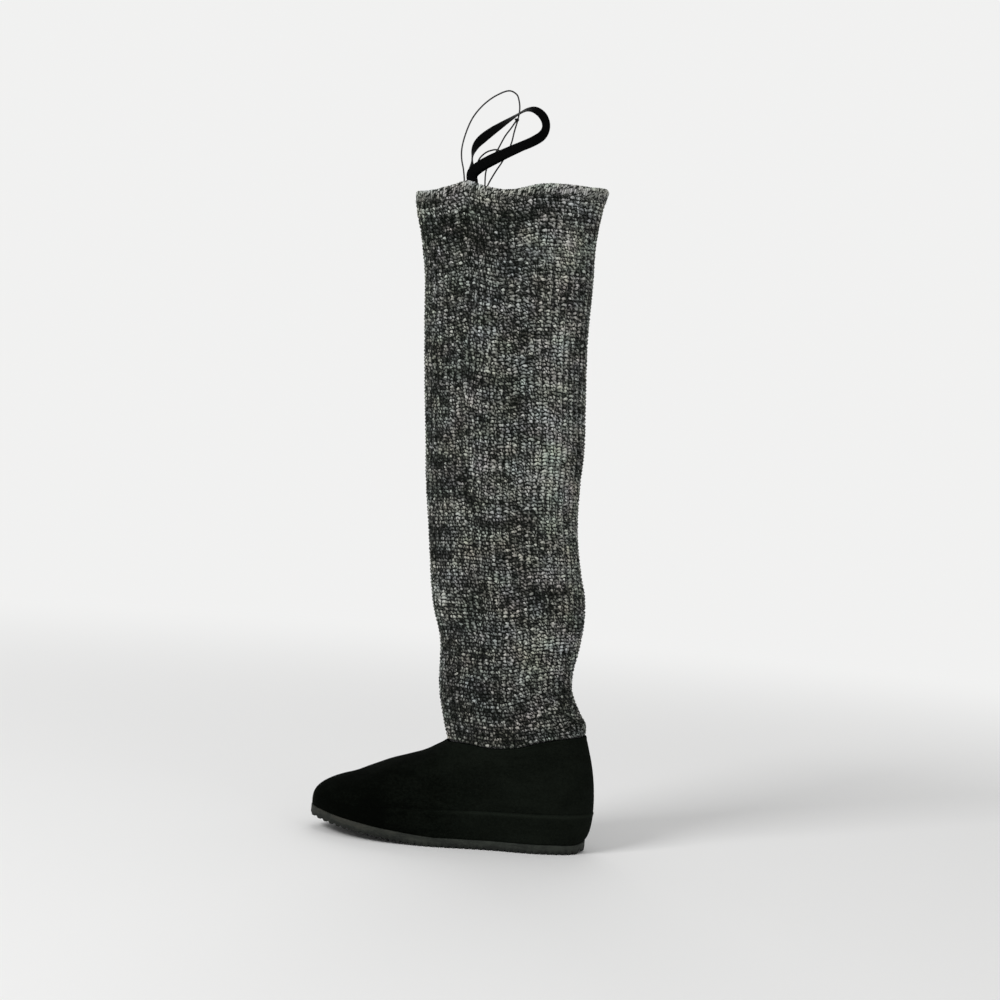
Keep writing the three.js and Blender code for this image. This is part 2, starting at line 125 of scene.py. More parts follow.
# ------------------------------------------------------------------ the foot's looks
SEAM_GAP = 0.12  # the open seam between platform and upper
TOE_SEAM_TURN = 0.02  # how far its edges turn in at the toe
SEAM_TURN = 0.26  # and how much more at the heel
WRAP_SWELL = 2.2  # how far the wrap's full edge under the seam stands out, as a multiple of that
THROAT_ROLL = 0.45  # how far the throat's rolled edge swells out
EDGE_TURN = 0.5  # how far the throat's edge and the platform's lower one turn in
UPPER_TURNS = 250  # points round the foot
UPPER_ROWS = 90  # and up it
PLATFORM_TURNS = 300
PLATFORM_ROWS = 26
OUTSOLE_TURNS = 720
MERIDIAN_POINTS = 160  # along each half of a meridian
RIB_ROUNDING = 0.35  # how far to each side of a sole rib's corner it is rounded
OUTSOLE_RADIUS = 0.7  # of the outsole's two edges
SIDE_HOLLOW = 0.18  # between them
END_SECTIONS = 26  # drawn together at the outsole's heel and toe
END_REACH = 28.0  # how far in from each end they spread

# ------------------------------------------------------------------ the studio's sizes
CAMERA_PLACE = [109.4, 1600, 330]
CAMERA_LENS = 59.75
CAMERA_ROLL = 5.0  # in degrees
PALE = (0.88, 0.88, 0.875)  # the floor and all that is round it
FLOOR_HALF = 15.0  # metres
FLOOR_FADE = (0.5, 2.6)  # from where to where the floor turns into what is round it, in metres
# Each light's place and the one it is turned to, in metres, its size and its power.
LIGHTS = {
    "key": ((2.2, 2.2, 2.3), (0.07, 0, 0.3), 1.1, 72),
    "fill": ((-2.6, 2.6, 1.6), (0.07, 0, 0.3), 2.2, 8),
    "back": ((0.2, -3.0, 2.6), (0.07, 0, 0.35), 2.4, 24),
}


def table(names, *rows):
    """Columns of numbers under their names."""
    return dict(zip(names.split(), np.array(rows, float).T))


# The last, one row for each place round the feather line, as in the part.
LAST = table(
    "along across angle wallOut wallRise shoulderOut shoulderZ reach drop",
    [0.000, 0.010, 180, 7.6, 9, 6.4, 68, 6, 19],  # the heel's back
    [0.042, 0.240, 153, 5.5, 11, 4.7, 64, 5, 20], [0.143, 0.355, 122, 2.5, 15, 3.0, 59, 3, 22],
    [0.355, 0.390, 72, 2.0, 16, 2.0, 54, 2, 20], [0.606, 0.475, 38, 2.0, 18, -6.0, 58, 15, 14],
    [0.780, 0.455, 24, 2.0, 17, -8.5, 52, 24, 18], [0.915, 0.275, 12, 2.0, 15.5, -9.0, 49.5, 31, 18.5],
    [1.000, -0.086, 0, 1.6, 15, -8.8, 49.5, 34, 18.5],  # the toe
    [0.961, -0.376, -11, 2.0, 15.5, -9.2, 49.5, 31, 18.5], [0.857, -0.495, -20, 2.0, 17, -8.5, 52, 26, 18],
    [0.700, -0.515, -31, 2.0, 17, -7.0, 58, 18, 16], [0.432, -0.350, -62, 1.5, 16, 0.0, 60, 3, 20],
    [0.143, -0.344, -122, 2.5, 15, 3.0, 59, 3, 22], [0.042, -0.226, -153, 5.5, 11, 4.7, 64, 5, 20],
)
TOE_ROW = 7

# The seam between platform and upper along the sole.
SEAM = table("x z", [-12, 39.5], [50, 38], [116, 36.5], [180, 34], [225, 30.5], [275, 29])

# The throat's and the collar's heights, in degrees from the front.
THROAT = table(
    "angle z", [0, 95.5], [50, 97], [74, 95.5], [90, 98], [104, 103.5], [120, 107.5], [150, 110.5],
    [180, 111], [210, 110.5], [240, 107.5], [256, 103.5], [270, 98], [286, 95.5], [310, 97],
)
COLLAR = table(
    "angle z", [0, 618.5], [44, 618.5], [55, 622], [64, 626.5], [75, 623], [87, 620.5], [104, 629],
    [122, 631.5], [140, 632], [162, 634], [180, 634], [215, 633.5], [250, 629], [280, 625], [320, 620],
)

# The shaft's ovals, from the ankle up.
SHAFT = table(
    "z front back half", [94, 139.2, 6.8, 37.5], [112, 144.8, 7, 38], [122, 147.4, 7.9, 38],
    [132, 150, 14, 37.5], [152, 153.3, 22, 36], [172, 154.2, 23.6, 35.5], [195, 156.3, 20, 37],
    [216, 162.9, 17.8, 39], [240, 168.3, 18.7, 39.5], [270, 172.5, 25.8, 39.5], [305, 177.3, 31.5, 40.5],
    [350, 183.5, 33, 41], [382, 186.4, 32, 41], [430, 191.5, 34.7, 41], [490, 197, 38, 41],
    [545, 201.7, 37.5, 41.5], [580, 208.4, 38, 42], [606, 214.8, 35.6, 42.5], [637, 213.8, 30, 42.5],
)

# Soft folds of the slack shaft: the place round it in degrees from the front and its height, their reach
# both ways, their lean in degrees of the way round for each millimetre up, and how far they stand out of the
# cloth or, negative, sink in.
FOLDS = table(
    "angle z wide tall lean out",
    [93, 600, 11, 50, 0.04, -3.2],  # the long trough down the outer side
    [91, 500, 10, 60, 0.00, -1.8], [98, 350, 11, 90, -0.03, -2.6], [102, 245, 12, 42, 0.0, -2.6],
    [132, 585, 13, 65, 0.0, 2.6],  # the ridge behind it
    [124, 470, 12, 60, 0.0, 2.6], [124, 365, 14, 45, 0.05, 2.2], [140, 290, 14, 38, 0.0, 1.8],
    [70, 535, 16, 20, -0.5, -2.2],  # slack across the front of the calf
    [44, 454, 18, 17, 0.1, -2.2], [79, 507, 12, 24, 0.0, 1.4], [78, 420, 13, 40, 0.0, 1.8],
    [44, 347, 14, 20, 0.0, -1.6], [64, 316, 12, 24, 0.0, 1.2], [85, 276, 13, 28, 0.0, 1.6],
    [37, 290, 14, 20, 0.0, -1.6],
    [30, 226, 15, 22, -0.1, 2.2],  # the bulge in front of the ankle
    [108, 192, 16, 34, 0.0, 2.4],  # the fold over the ankle bone
    [166, 149, 22, 12, 0.4, -3.9],  # the deep crease from the back of the ankle
    [150, 176, 16, 12, 0.5, 1.8], [38, 146, 18, 12, -0.2, -1.8], [70, 166, 20, 10, 0.3, -1.2],
    [262, 560, 14, 110, 0.02, -2.8],  # the inner side, much the same
    [236, 440, 14, 110, -0.03, 2.4], [285, 340, 14, 90, 0.05, -2.4], [318, 470, 16, 40, -0.1, -1.8],
    [250, 220, 15, 40, 0.0, 2.2], [205, 160, 20, 14, -0.4, -3.6], [300, 180, 20, 14, 0.2, -1.8],
    [318, 232, 16, 22, 0.1, 1.8],
)
# Where the courses hang lower than level, behind the calf.
DROOP = table("angle z wide tall lean out", [150, 350, 45, 110, 0, 13.0], [205, 330, 40, 110, 0, 11.0])

# Where the yarn is lighter or, negative, darker: the place round the shaft and its height, and the reach.
# Partly its uneven dye, partly painted light on the ridges and the rear side, and painted shade in the
# troughs and creases, on the front side and towards the collar.
TONES_AND_PAINTED_LIGHT = table(
    "angle z wide tall lean out", [30, 440, 30, 320, 0, -0.30], [52, 172, 34, 46, 0, -0.22],
    [104, 608, 70, 30, 0, -0.08], [90, 112, 90, 34, 0, -0.20], [94, 612, 12, 22, 0, -0.22],
    [110, 613, 7, 12, 0, -0.26], [88, 572, 12, 24, 0.1, -0.34], [54, 578, 28, 18, 0, -0.40],
    [70, 537, 16, 14, -0.4, -0.20], [70, 558, 12, 14, 0, -0.44], [50, 524, 12, 14, 0, -0.22],
    [133, 604, 12, 40, 0, 0.34], [120, 530, 10, 34, 0, 0.10], [94, 540, 16, 16, 0, -0.16],
    [78, 484, 12, 24, 0, 0.22], [100, 522, 10, 12, 0, -0.16], [131, 472, 15, 34, 0, 0.52],
    [98, 470, 9, 50, 0, -0.12], [56, 452, 16, 13, 0, -0.26], [32, 432, 12, 14, 0, -0.20],
    [85, 434, 10, 14, 0, 0.10], [60, 410, 14, 34, 0, 0.16], [88, 408, 10, 12, 0, 0.28],
    [112, 408, 10, 12, 0, 0.24], [128, 382, 18, 20, 0, 0.52], [60, 389, 12, 12, 0, -0.16],
    [94, 366, 8, 14, 0, -0.14], [120, 346, 11, 24, 0, 0.46], [102, 328, 10, 14, 0, -0.16],
    [36, 340, 14, 18, 0, -0.20], [54, 324, 12, 14, 0, 0.30], [72, 322, 10, 14, 0, -0.22],
    [101, 378, 8, 40, 0, -0.24], [98, 298, 12, 16, 0, -0.20], [24, 282, 12, 22, 0, -0.32],
    [134, 290, 14, 36, 0, 0.18], [48, 263, 9, 14, 0, 0.20], [86, 254, 9, 14, 0, 0.26],
    [66, 246, 9, 14, 0, -0.26], [109, 235, 12, 18, 0, -0.42], [28, 236, 12, 18, 0, 0.34],
    [117, 201, 12, 14, 0, 0.44], [112, 172, 12, 14, 0, 0.10], [84, 154, 10, 12, 0, -0.20],
    [50, 184, 14, 14, 0, 0.24], [30, 178, 14, 18, 0, -0.22], [145, 152, 14, 13, 0, -0.95],
    [150, 124, 20, 14, 0, -0.40], [92, 130, 14, 12, 0, -0.20], [54, 110, 22, 8, 0, -0.10],
    [40, 106, 10, 7, 0, -0.30], [96, 106, 20, 7, 0, -0.26], [250, 560, 15, 60, 0, -0.30],
    [226, 450, 13, 60, 0, 0.34], [282, 350, 13, 40, 0, -0.28], [300, 470, 16, 18, 0, 0.26],
    [238, 300, 14, 26, 0, 0.26], [250, 205, 14, 20, 0, 0.34], [200, 155, 18, 16, 0, -0.36],
    [320, 540, 18, 20, 0, -0.26], [210, 590, 12, 30, 0, 0.24], [300, 120, 40, 9, 0, -0.30],
)
# Creases and puckers of the suede foot: the place along and across, their reach, depth and lean. The foot
# is soft, so they are faint.
SEAM_FADES = 128.0  # where the seam's groove is half as deep, going towards the toe
CREASES = table(
    "x y z long tall out lean",
    [226, 0, 58, 11, 14, -2.2, 0],  # across the vamp, where the foot bends: a hollow, a ridge, a hollow
    [193, 0, 74, 13, 16, 2.0, 0], [161, 0, 86, 12, 14, -2.2, 0],
    [150, 40, 41.5, 34, 1.8, 0.75, 0.16],  # a low ridge from the seam's pucker to the toe
    [150, 40, 38.0, 34, 1.6, -0.5, 0.16],
    [120, 42, 37.5, 7, 3.5, 0.9, -0.5],  # the pucker
    [108, 42, 41, 8, 2.5, -0.6, -0.5],
    [60, 38, 41.5, 55, 2.2, -0.45, -0.03],  # above the seam, where the suede is drawn in
    [150, 32, 72, 15, 5, -0.8, -0.9], [168, 32, 62, 13, 4, -0.6, -0.8], [150, -32, 72, 15, 5, -0.8, -0.9],
    [168, -32, 62, 13, 4, -0.6, -0.8], [120, 38, 60, 42, 9, 0.8, -0.25], [176, 40, 45, 26, 4, -0.5, 0.35],
    [60, 36, 78, 30, 6, -0.7, 0.25], [20, 34, 88, 16, 5, -0.6, -0.4], [60, -34, 78, 30, 6, -0.7, 0.25],
    [96, -36, 56, 30, 7, -0.6, -0.2],
)

# The ribbon's centre line and turn, and the threads, as in the part.
RIBBON = table(
    "x y z turn", [163, 30, 634.5, 70], [163.7, 29, 641, 44], [163.8, 28.3, 647.5, 20],
    [163.6, 28, 652.5, 23], [162.8, 28, 657.5, 44], [160.5, 28, 663.5, 67], [155.5, 28, 669.7, 84],
    [147.3, 27.6, 677.4, 72], [139, 27.2, 684.2, 54], [130.7, 27, 690.7, 38], [122.9, 27, 696.5, 27],
    [115.7, 27, 700.7, 35], [108.5, 27.2, 701.1, 52], [101.4, 27.6, 696.8, 58], [97.4, 28.2, 690, 50],
    [96.9, 29, 683.2, 44], [99.7, 30, 677, 57], [106.8, 31.4, 671, 80], [128, 33.6, 659.3, 90],
    [147, 34.6, 648.7, 90], [157.5, 35, 641.2, 90], [162.6, 35.2, 635.6, 90], [163, 35.4, 631, 90],
)
RIBBON_WIDTH = 9.3
RIBBON_THICKNESS = 0.9
RIBBON_STEPS = 360  # along it
RIBBON_SIDES = 24
# The ribbon's loose end, which lies behind the lower run and slants out below it.
RIBBON_END = table(
    "x y z", [118.5, 31.1, 664.6], [131, 32.3, 657], [146.2, 33, 647.2], [151, 33.3, 644],
    [158.2, 33.6, 638], [161.3, 34, 633.8], [161.6, 34.1, 630],
)
END_STEPS = 120
TAIL_ANGLE = 66.5  # where the ribbon goes inside the collar
TAIL_DEPTHS = [0, 10, 20]
TAIL_OUTER = 1.1  # how far in from the knit its parts lie there
END_SEAT = 2.3
TAIL_INNER = 3.5
THREAD_DIAMETER = 1.5
THREAD_DEPTHS = [14, 7, 0]
THREAD_STEPS = 160
THREAD_SIDES = 10
KNOT_PLACE = [124.9, 20.8, 691.4]
KNOT_RADIUS = 1.6
# Each thread leaves the knit's inside at one angle, and the loop goes back in at a second; then how far in
# from the knit it lies there, and its points.
THREADS = {
    "thread_loop": (
        61,
        76.8,
        1.2,
        [171, 31.5, 638], [173.6, 28.5, 648], [174.5, 25.5, 659], [171.8, 21.5, 676],
        [166.4, 18.4, 691.7], [156.9, 16.2, 705.4], [145.3, 15, 715.3], [134.1, 15.3, 720],
        [127, 16.4, 716.6], [124.2, 17.8, 709.9], [123.1, 19, 702], [123.8, 20, 693.3],
        [126.4, 20.9, 680], [128.3, 22, 668.4], [135.3, 24.6, 650], [140.6, 28.5, 639.5],
    ),
    "thread_tie": (
        75.3,
        None,
        1.2,
        [149.8, 32, 630], [149.8, 29.5, 638], [148, 27.3, 646], [144.4, 25.6, 654],
        [140.5, 24.4, 661.3], [134.7, 23.2, 674.7], [129.5, 22.2, 683.3], [125.6, 21.5, 690.3],
    ),
    "thread_tail": (
        67.5,
        None,
        5.2,
        [158.8, 28, 634], [158.9, 27, 640], [158.6, 27, 645.5], [156.8, 27, 650.8], [154, 27, 654.5],
        [150.4, 26.8, 657.6], [146.8, 26.6, 659.3], [143, 26.6, 660.4], [139.7, 26.6, 660.2],
        [137.2, 26.6, 658.4],
    ),
}


# ------------------------------------------------------------------ curves and noise
def hermite(s, start, stop, leave, arrive):
    """The place s of the way from start to stop, on the cubic with the slopes leave and arrive."""
    s2, s3 = s * s, s * s * s
    there = 3 * s2 - 2 * s3
    return (1 - there) * start + there * stop + (s3 - 2 * s2 + s) * leave + (s3 - s2) * arrive


def curve_through(knots, values):
    """A smooth curve of values at rising knots. Each slope comes from the rows on either side."""
    gap = np.diff(knots)
    rise = np.diff(values) / gap
    inner = (rise[:-1] * gap[1:] + rise[1:] * gap[:-1]) / (gap[:-1] + gap[1:])
    slopes = np.concatenate([rise[:1], inner, rise[-1:]])

    def at(t):
        t = np.clip(t, knots[0], knots[-1])
        i = np.clip(np.searchsorted(knots, t, side="right") - 1, 0, len(gap) - 1)
        leave, arrive = gap[i] * slopes[i], gap[i] * slopes[i + 1]
        return hermite((t - knots[i]) / gap[i], values[i], values[i + 1], leave, arrive)

    return at


def curve_round(knots, values, period):
    """The same through a table that starts again after a period."""
    curve = curve_through(np.concatenate([knots - period, knots, knots + period]), np.tile(values, 3))
    return lambda t: curve(np.mod(t, period))


def catmull_rom(points, steps):
    """The centripetal curve through points, in steps even by its knots."""
    points = np.asarray(points, float)
    padded = np.concatenate([[2 * points[0] - points[1]], points, [2 * points[-1] - points[-2]]])
    roots = np.sqrt(np.linalg.norm(np.diff(padded, axis=0), axis=1))
    place = np.linspace(0, 1, steps + 1) * (len(points) - 1)
    i = np.minimum(place.astype(int), len(points) - 2)
    a, b, c, d = (padded[i + k] for k in range(4))
    before, here, after = (roots[i + k][:, None] for k in range(3))
    leave = ((b - a) / before - (c - a) / (before + here) + (c - b) / here) * here
    arrive = ((c - b) / here - (d - b) / (here + after) + (d - c) / after) * here
    return hermite((place - i)[:, None], b, c, leave, arrive)


def unit(vectors):
    return vectors / np.maximum(np.linalg.norm(vectors, axis=-1, keepdims=True), 1e-12)


def closed(points):
    return np.concatenate([points, points[:1]])


def run_lengths(points, axis=0):
    """How far along a line each of its points is."""
    steps = np.linalg.norm(np.diff(points, axis=axis), axis=-1)
    return np.insert(np.cumsum(steps, axis=axis), 0, 0, axis=axis)


def to_frame(points):
    """Millimetres from the sole's back to metres from the frame's origin."""
    return (np.asarray(points, float) - [ORIGIN_X, 0, 0]) * MM


def between(grid, i, j, s, t):
    """A grid's value s of the way from row i to the next and t of the way from column j to the next."""
    left, right = (grid[i, j + k] * (1 - s) + grid[i + 1, j + k] * s for k in range(2))
    return left * (1 - t) + right * t


def smooth_noise(shape, cells, seed, wrap=True):
    """Soft noise from -1 to 1 over a grid of rows and columns; with wrap the columns go round."""
    rough = np.random.default_rng(seed).uniform(-1, 1, (cells[0] + 2, cells[1] + 1))
    if wrap:
        rough[:, -1] = rough[:, 0]
    rows = np.linspace(0, cells[0], shape[0])
    columns = np.linspace(0, cells[1], shape[1], endpoint=not wrap)
    i, j = rows.astype(int), np.minimum(columns.astype(int), cells[1] - 1)
    s, t = rows - i, columns - j
    s, t = s * s * (3 - 2 * s), t * t * (3 - 2 * t)
    return between(rough, i[:, None], j, s[:, None], t)


# ------------------------------------------------------------------ the part's functions
def sole_bottom(x):
    def climb(ahead):
        return ahead**2 / (ahead + SPRING_EASE)

    behind = np.maximum(HEEL_BEVEL_X - x, 0)
    heel = HEEL_BEVEL_RADIUS - np.sqrt(HEEL_BEVEL_RADIUS**2 - behind**2)
    spring = climb(np.maximum(x - SPRING_START_X, 0)) / climb(SOLE_LENGTH - SPRING_START_X)
    return TOE_SPRING * spring + heel


def sole_top(x):
    return sole_bottom(x) + OUTSOLE_THICKNESS


seam_z = curve_through(SEAM["x"], SEAM["z"])
shaft_front, shaft_back, shaft_half = (
    curve_through(SHAFT["z"], SHAFT[name]) for name in ("front", "back", "half")
)
throat_z, collar_z = (curve_round(rim["angle"], rim["z"], 360) for rim in (THROAT, COLLAR))


def round_section(turn, power):
    """The two coordinates of a round section at a turn in radians; it is squarer for a power above 2."""
    return (np.sign(side) * np.abs(side) ** (2 / power) for side in (np.cos(turn), np.sin(turn)))


def oval(angle, z, inset=0.0):
    """A point of the shaft at an angle from the front, at a height, and inset from its outer face."""
    front, back = shaft_front(z), shaft_back(z)
    ahead, aside = round_section(np.radians(angle), OVAL_POWER)
    x = (front + back) / 2 + ((front - back) / 2 - inset) * ahead
    return np.stack(np.broadcast_arrays(x, (shaft_half(z) - inset) * aside, z), axis=-1)


def wave(angle, z, rows):
    """The sum of a table's soft bumps at places of the shaft; FOLDS, DROOP and TONES_AND_PAINTED_LIGHT hold such rows."""
    total = np.zeros(np.broadcast(angle, z).shape)
    for row_angle, height, wide, tall, lean, out in zip(*rows.values()):
        off = np.mod(angle - row_angle - lean * (z - height) + 180, 360) - 180
        total += out * np.exp(-((off / wide) ** 2) - ((z - height) / tall) ** 2)
    return total


class Shaft:
    """The shaft's cloth. A place on it is a share of the way round, by length from the front over the outer
    side, and a share of the way up from the throat to the hem's foot."""

    LEVELS = np.linspace(SHAFT["z"][0], SHAFT["z"][-1], 140)
    ANGLES = np.linspace(0, 360, 721)

    def __init__(self):
        lengths = run_lengths(oval(self.ANGLES, self.LEVELS[:, None]), axis=1)
        shares = np.linspace(0, 1, len(self.ANGLES))
        self.angles = np.array([np.interp(shares, row / row[-1], self.ANGLES) for row in lengths])

    def angle(self, around, z):
        """The angle from the front at a share of the way round and a height."""
        row = np.clip((z - self.LEVELS[0]) / (self.LEVELS[1] - self.LEVELS[0]), 0, len(self.LEVELS) - 1.001)
        place = np.mod(around, 1) * (len(self.ANGLES) - 1)
        i, j = row.astype(int), np.minimum(place.astype(int), len(self.ANGLES) - 2)
        return between(self.angles, i, j, row - i, place - j)

    def place(self, around, up):
        """The angle and height of a place. Above 1, up goes on into the hem, to 2 at the rim."""
        rough = THROAT["z"].mean() + np.clip(up, 0, 1) * (COLLAR["z"].mean() - THROAT["z"].mean())
        angle = self.angle(around, rough)
        low, rim = throat_z(angle), collar_z(angle)
        z = low + np.minimum(up, 1) * (rim - HEM_HEIGHT - low) + np.maximum(up - 1, 0) * HEM_HEIGHT
        z = z - wave(angle, z, DROOP) * np.clip(up, 0, 1) * np.clip(4 * (1 - up), 0, 1)
        return self.angle(around, z), z

    def skin(self, around, up, out=0.0):
        """Points of the cloth's outer face, with its folds, and out from it."""
        around, up = np.broadcast_arrays(around, up)
        angle, z = self.place(around, up)
        fade = np.clip(6 * up, 0, 1) * np.clip(5 * (1.05 - up), 0, 1)
        return oval(angle, z, -out - wave(angle, z, FOLDS) * fade)

    def frame_at(self, around, up):
        """Points of the outer face and its outward normals there."""
        step_round, step_up = 1e-3, 2e-3
        across = self.skin(around + step_round, up) - self.skin(around - step_round, up)
        along = self.skin(around, up + step_up) - self.skin(around, up - step_up)
        return self.skin(around, up), unit(np.cross(across, along))


shaft = Shaft()


class Foot:
    """The foot's surface from the feather line to the throat, as in the part, by its meridians."""

    def __init__(self, around):
        self.turns = np.arange(around) / around
        points = np.stack([LAST["along"] * SOLE_LENGTH, LAST["across"] * BALL_WIDTH], axis=1)
        ends = run_lengths(closed(points))
        self.knots = np.interp(ends[:-1], ends[[0, TOE_ROW, -1]], [0, 0.5, 1])
        self.x, self.y = (curve_round(self.knots, column, 1) for column in points.T)
        self.lines = self.meridians()
        self.lengths = run_lengths(self.lines, axis=1)

    def feather(self):
        """The feather line's points and its outward directions, all level."""
        steps = self.turns + np.array([[-1e-4], [0], [1e-4]])
        behind, point, ahead = np.stack([self.x(steps), self.y(steps)], axis=-1)
        along = unit(ahead - behind)
        return point, np.stack([-along[:, 1], along[:, 0]], axis=-1)

    def meridians(self):
        """For each turn, points up the curve from the outsole to the throat."""
        row = {name: curve_round(self.knots, values, 1)(self.turns) for name, values in LAST.items()}
        lead = curve_round(self.knots, LAST["angle"] - (180 - 360 * self.knots), 1)(self.turns)
        point, outward = self.feather()
        base = sole_top(point[:, 0]) + CLEARANCE

        def offset(out, z):
            return np.column_stack([point + outward * np.reshape(out, (-1, 1)), z])

        angle = 180 - 360 * self.turns + lead
        throat = oval(angle, throat_z(angle))
        instep = throat + unit(offset(0, throat[:, 2]) - throat) * row["reach"][:, None]
        instep[:, 2] = throat[:, 2] - row["drop"]
        wall = offset(row["wallOut"], base + row["wallRise"])
        shoulder = offset(row["shoulderOut"], row["shoulderZ"])
        low, high = (wall + shoulder) / 2, (shoulder + instep) / 2
        middle = (low + high) / 2
        s = np.linspace(0, 1, MERIDIAN_POINTS)[None, :, None]

        def bezier(*corners):
            a, b, c, d = (corner[:, None] for corner in corners)
            return (1 - s) ** 3 * a + 3 * (1 - s) ** 2 * s * b + 3 * (1 - s) * s**2 * c + s**3 * d

        lower, higher = bezier(offset(0, base), wall, low, middle), bezier(middle, high, instep, throat)
        return np.concatenate([lower, higher[:, 1:]], axis=1)

    def rows(self, start, stop, count, ease):
        """A grid of count points up each meridian between two lengths; ease gathers them at both ends."""
        s = np.linspace(0, 1, count)
        s = s - ease * np.sin(2 * np.pi * s) / (2 * np.pi)
        wanted = start[:, None] + (stop - start)[:, None] * s
        return np.array([
            np.stack([np.interp(want, length, column) for column in line.T], axis=-1)
            for want, length, line in zip(wanted, self.lengths, self.lines)
        ])

    def seam_lengths(self, lift):
        """How far up each meridian it is lift above the seam."""
        over = self.lines[:, :, 2] - seam_z(self.lines[:, :, 0]) - lift
        first = np.argmax(over > 0, axis=1)
        rows = np.arange(len(first))
        low, high = over[rows, first - 1], over[rows, first]
        share = -low / (high - low)
        return self.lengths[rows, first - 1] * (1 - share) + self.lengths[rows, first] * share


def grid_normals(grid):
    """Outward normals of a grid that goes round in its first axis and up in its second."""
    around = np.roll(grid, -1, axis=0) - np.roll(grid, 1, axis=0)
    return unit(np.cross(np.gradient(grid, axis=1), around))


# ------------------------------------------------------------------ meshes
def quads(rows, columns, wrap_rows=False, wrap_columns=False):
    """Faces of a grid of points that are numbered row by row."""
    last_row, last_column = rows - (not wrap_rows), columns - (not wrap_columns)
    i, j = np.meshgrid(np.arange(last_row), np.arange(last_column), indexing="ij")
    low, high, after = i * columns, (i + 1) % rows * columns, (j + 1) % columns
    return np.stack([low + j, low + after, high + after, high + j], axis=-1).reshape(-1, 4)


def strip_uv(rows, columns):
    """The corners' coordinates on a grid of quads, as quads() orders them."""
    r0, c0 = np.meshgrid(rows[:-1], columns[:-1], indexing="ij")
    r1, c1 = np.meshgrid(rows[1:], columns[1:], indexing="ij")
    return np.stack([r0, c0, r0, c1, r1, c1, r1, c0], axis=-1).reshape(-1, 2)


def add_object(name, data):
    thing = bpy.data.objects.new(name, data)
    bpy.context.scene.collection.objects.link(thing)
    return thing


def add_piece(name, points, faces, material, slot, *nodes, uv_maps=None, values=None, merge=False,
              sharp=None):
    """A smooth piece from points in the part's millimetres, with its UV maps and its points' values, that
    rides on the boot's one body. With merge its corners are joined; sharp is the angle of its sharp edges."""
    mesh = bpy.data.meshes.new(name)
    mesh.from_pydata(to_frame(points.reshape(-1, 3)).tolist(), [], faces.tolist(), shade_flat=False)
    for label, corners in (uv_maps or {}).items():
        mesh.uv_layers.new(name=label).uv.foreach_set("vector", corners.astype(np.float32).ravel())
    for label, numbers in (values or {}).items():
        layer = mesh.attributes.new(name=label, type="FLOAT", domain="POINT")
        layer.data.foreach_set("value", numbers.astype(np.float32).ravel())
    mesh.validate()
    mesh.materials.append(material)
    if merge:
        rework(mesh, join_corners)
    if sharp is not None:
        mesh.set_sharp_from_angle(angle=math.radians(sharp))
    piece = add_object(name, mesh)
    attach(piece, "root")
    if nodes:
        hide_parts(*nodes)
    return piece


def rework(mesh, change):
    """Puts a mesh through a function that changes its bmesh."""
    work = bmesh.new()
    work.from_mesh(mesh)
    change(work)
    work.to_mesh(mesh)
    work.free()
    mesh.update()


def join_corners(work):
    """Joins corners that lie together, as at the ends of a block, and drops the empty faces there."""
    bmesh.ops.remove_doubles(work, verts=work.verts, dist=1e-6)
    bmesh.ops.dissolve_degenerate(work, edges=work.edges, dist=1e-7)
    bmesh.ops.recalc_face_normals(work, faces=work.faces)


def close_ends(work):
    """Fills the open ends of tubes."""
    bmesh.ops.holes_fill(work, edges=[edge for edge in work.edges if edge.is_boundary], sides=0)


# ------------------------------------------------------------------ materials
class Value:
    """A node's output; sums and products with it are further nodes."""

    def __init__(self, nodes, socket):
        self.nodes, self.socket = nodes, socket

    def __add__(self, other):
        return self.nodes.math("ADD", self, other)

    def __mul__(self, other):
        return self.nodes.math("MULTIPLY", self, other)

    def sine(self):
        return self.nodes.math("SINE", self)

    def span(self, low, high, to_low=0.0, to_high=1.0):
        """The value from low to high, eased onto to_low to to_high."""
        sockets = dict(enumerate((self, low, high, to_low, to_high)))
        return self.nodes.node("MapRange", sockets, interpolation_type="SMOOTHSTEP")


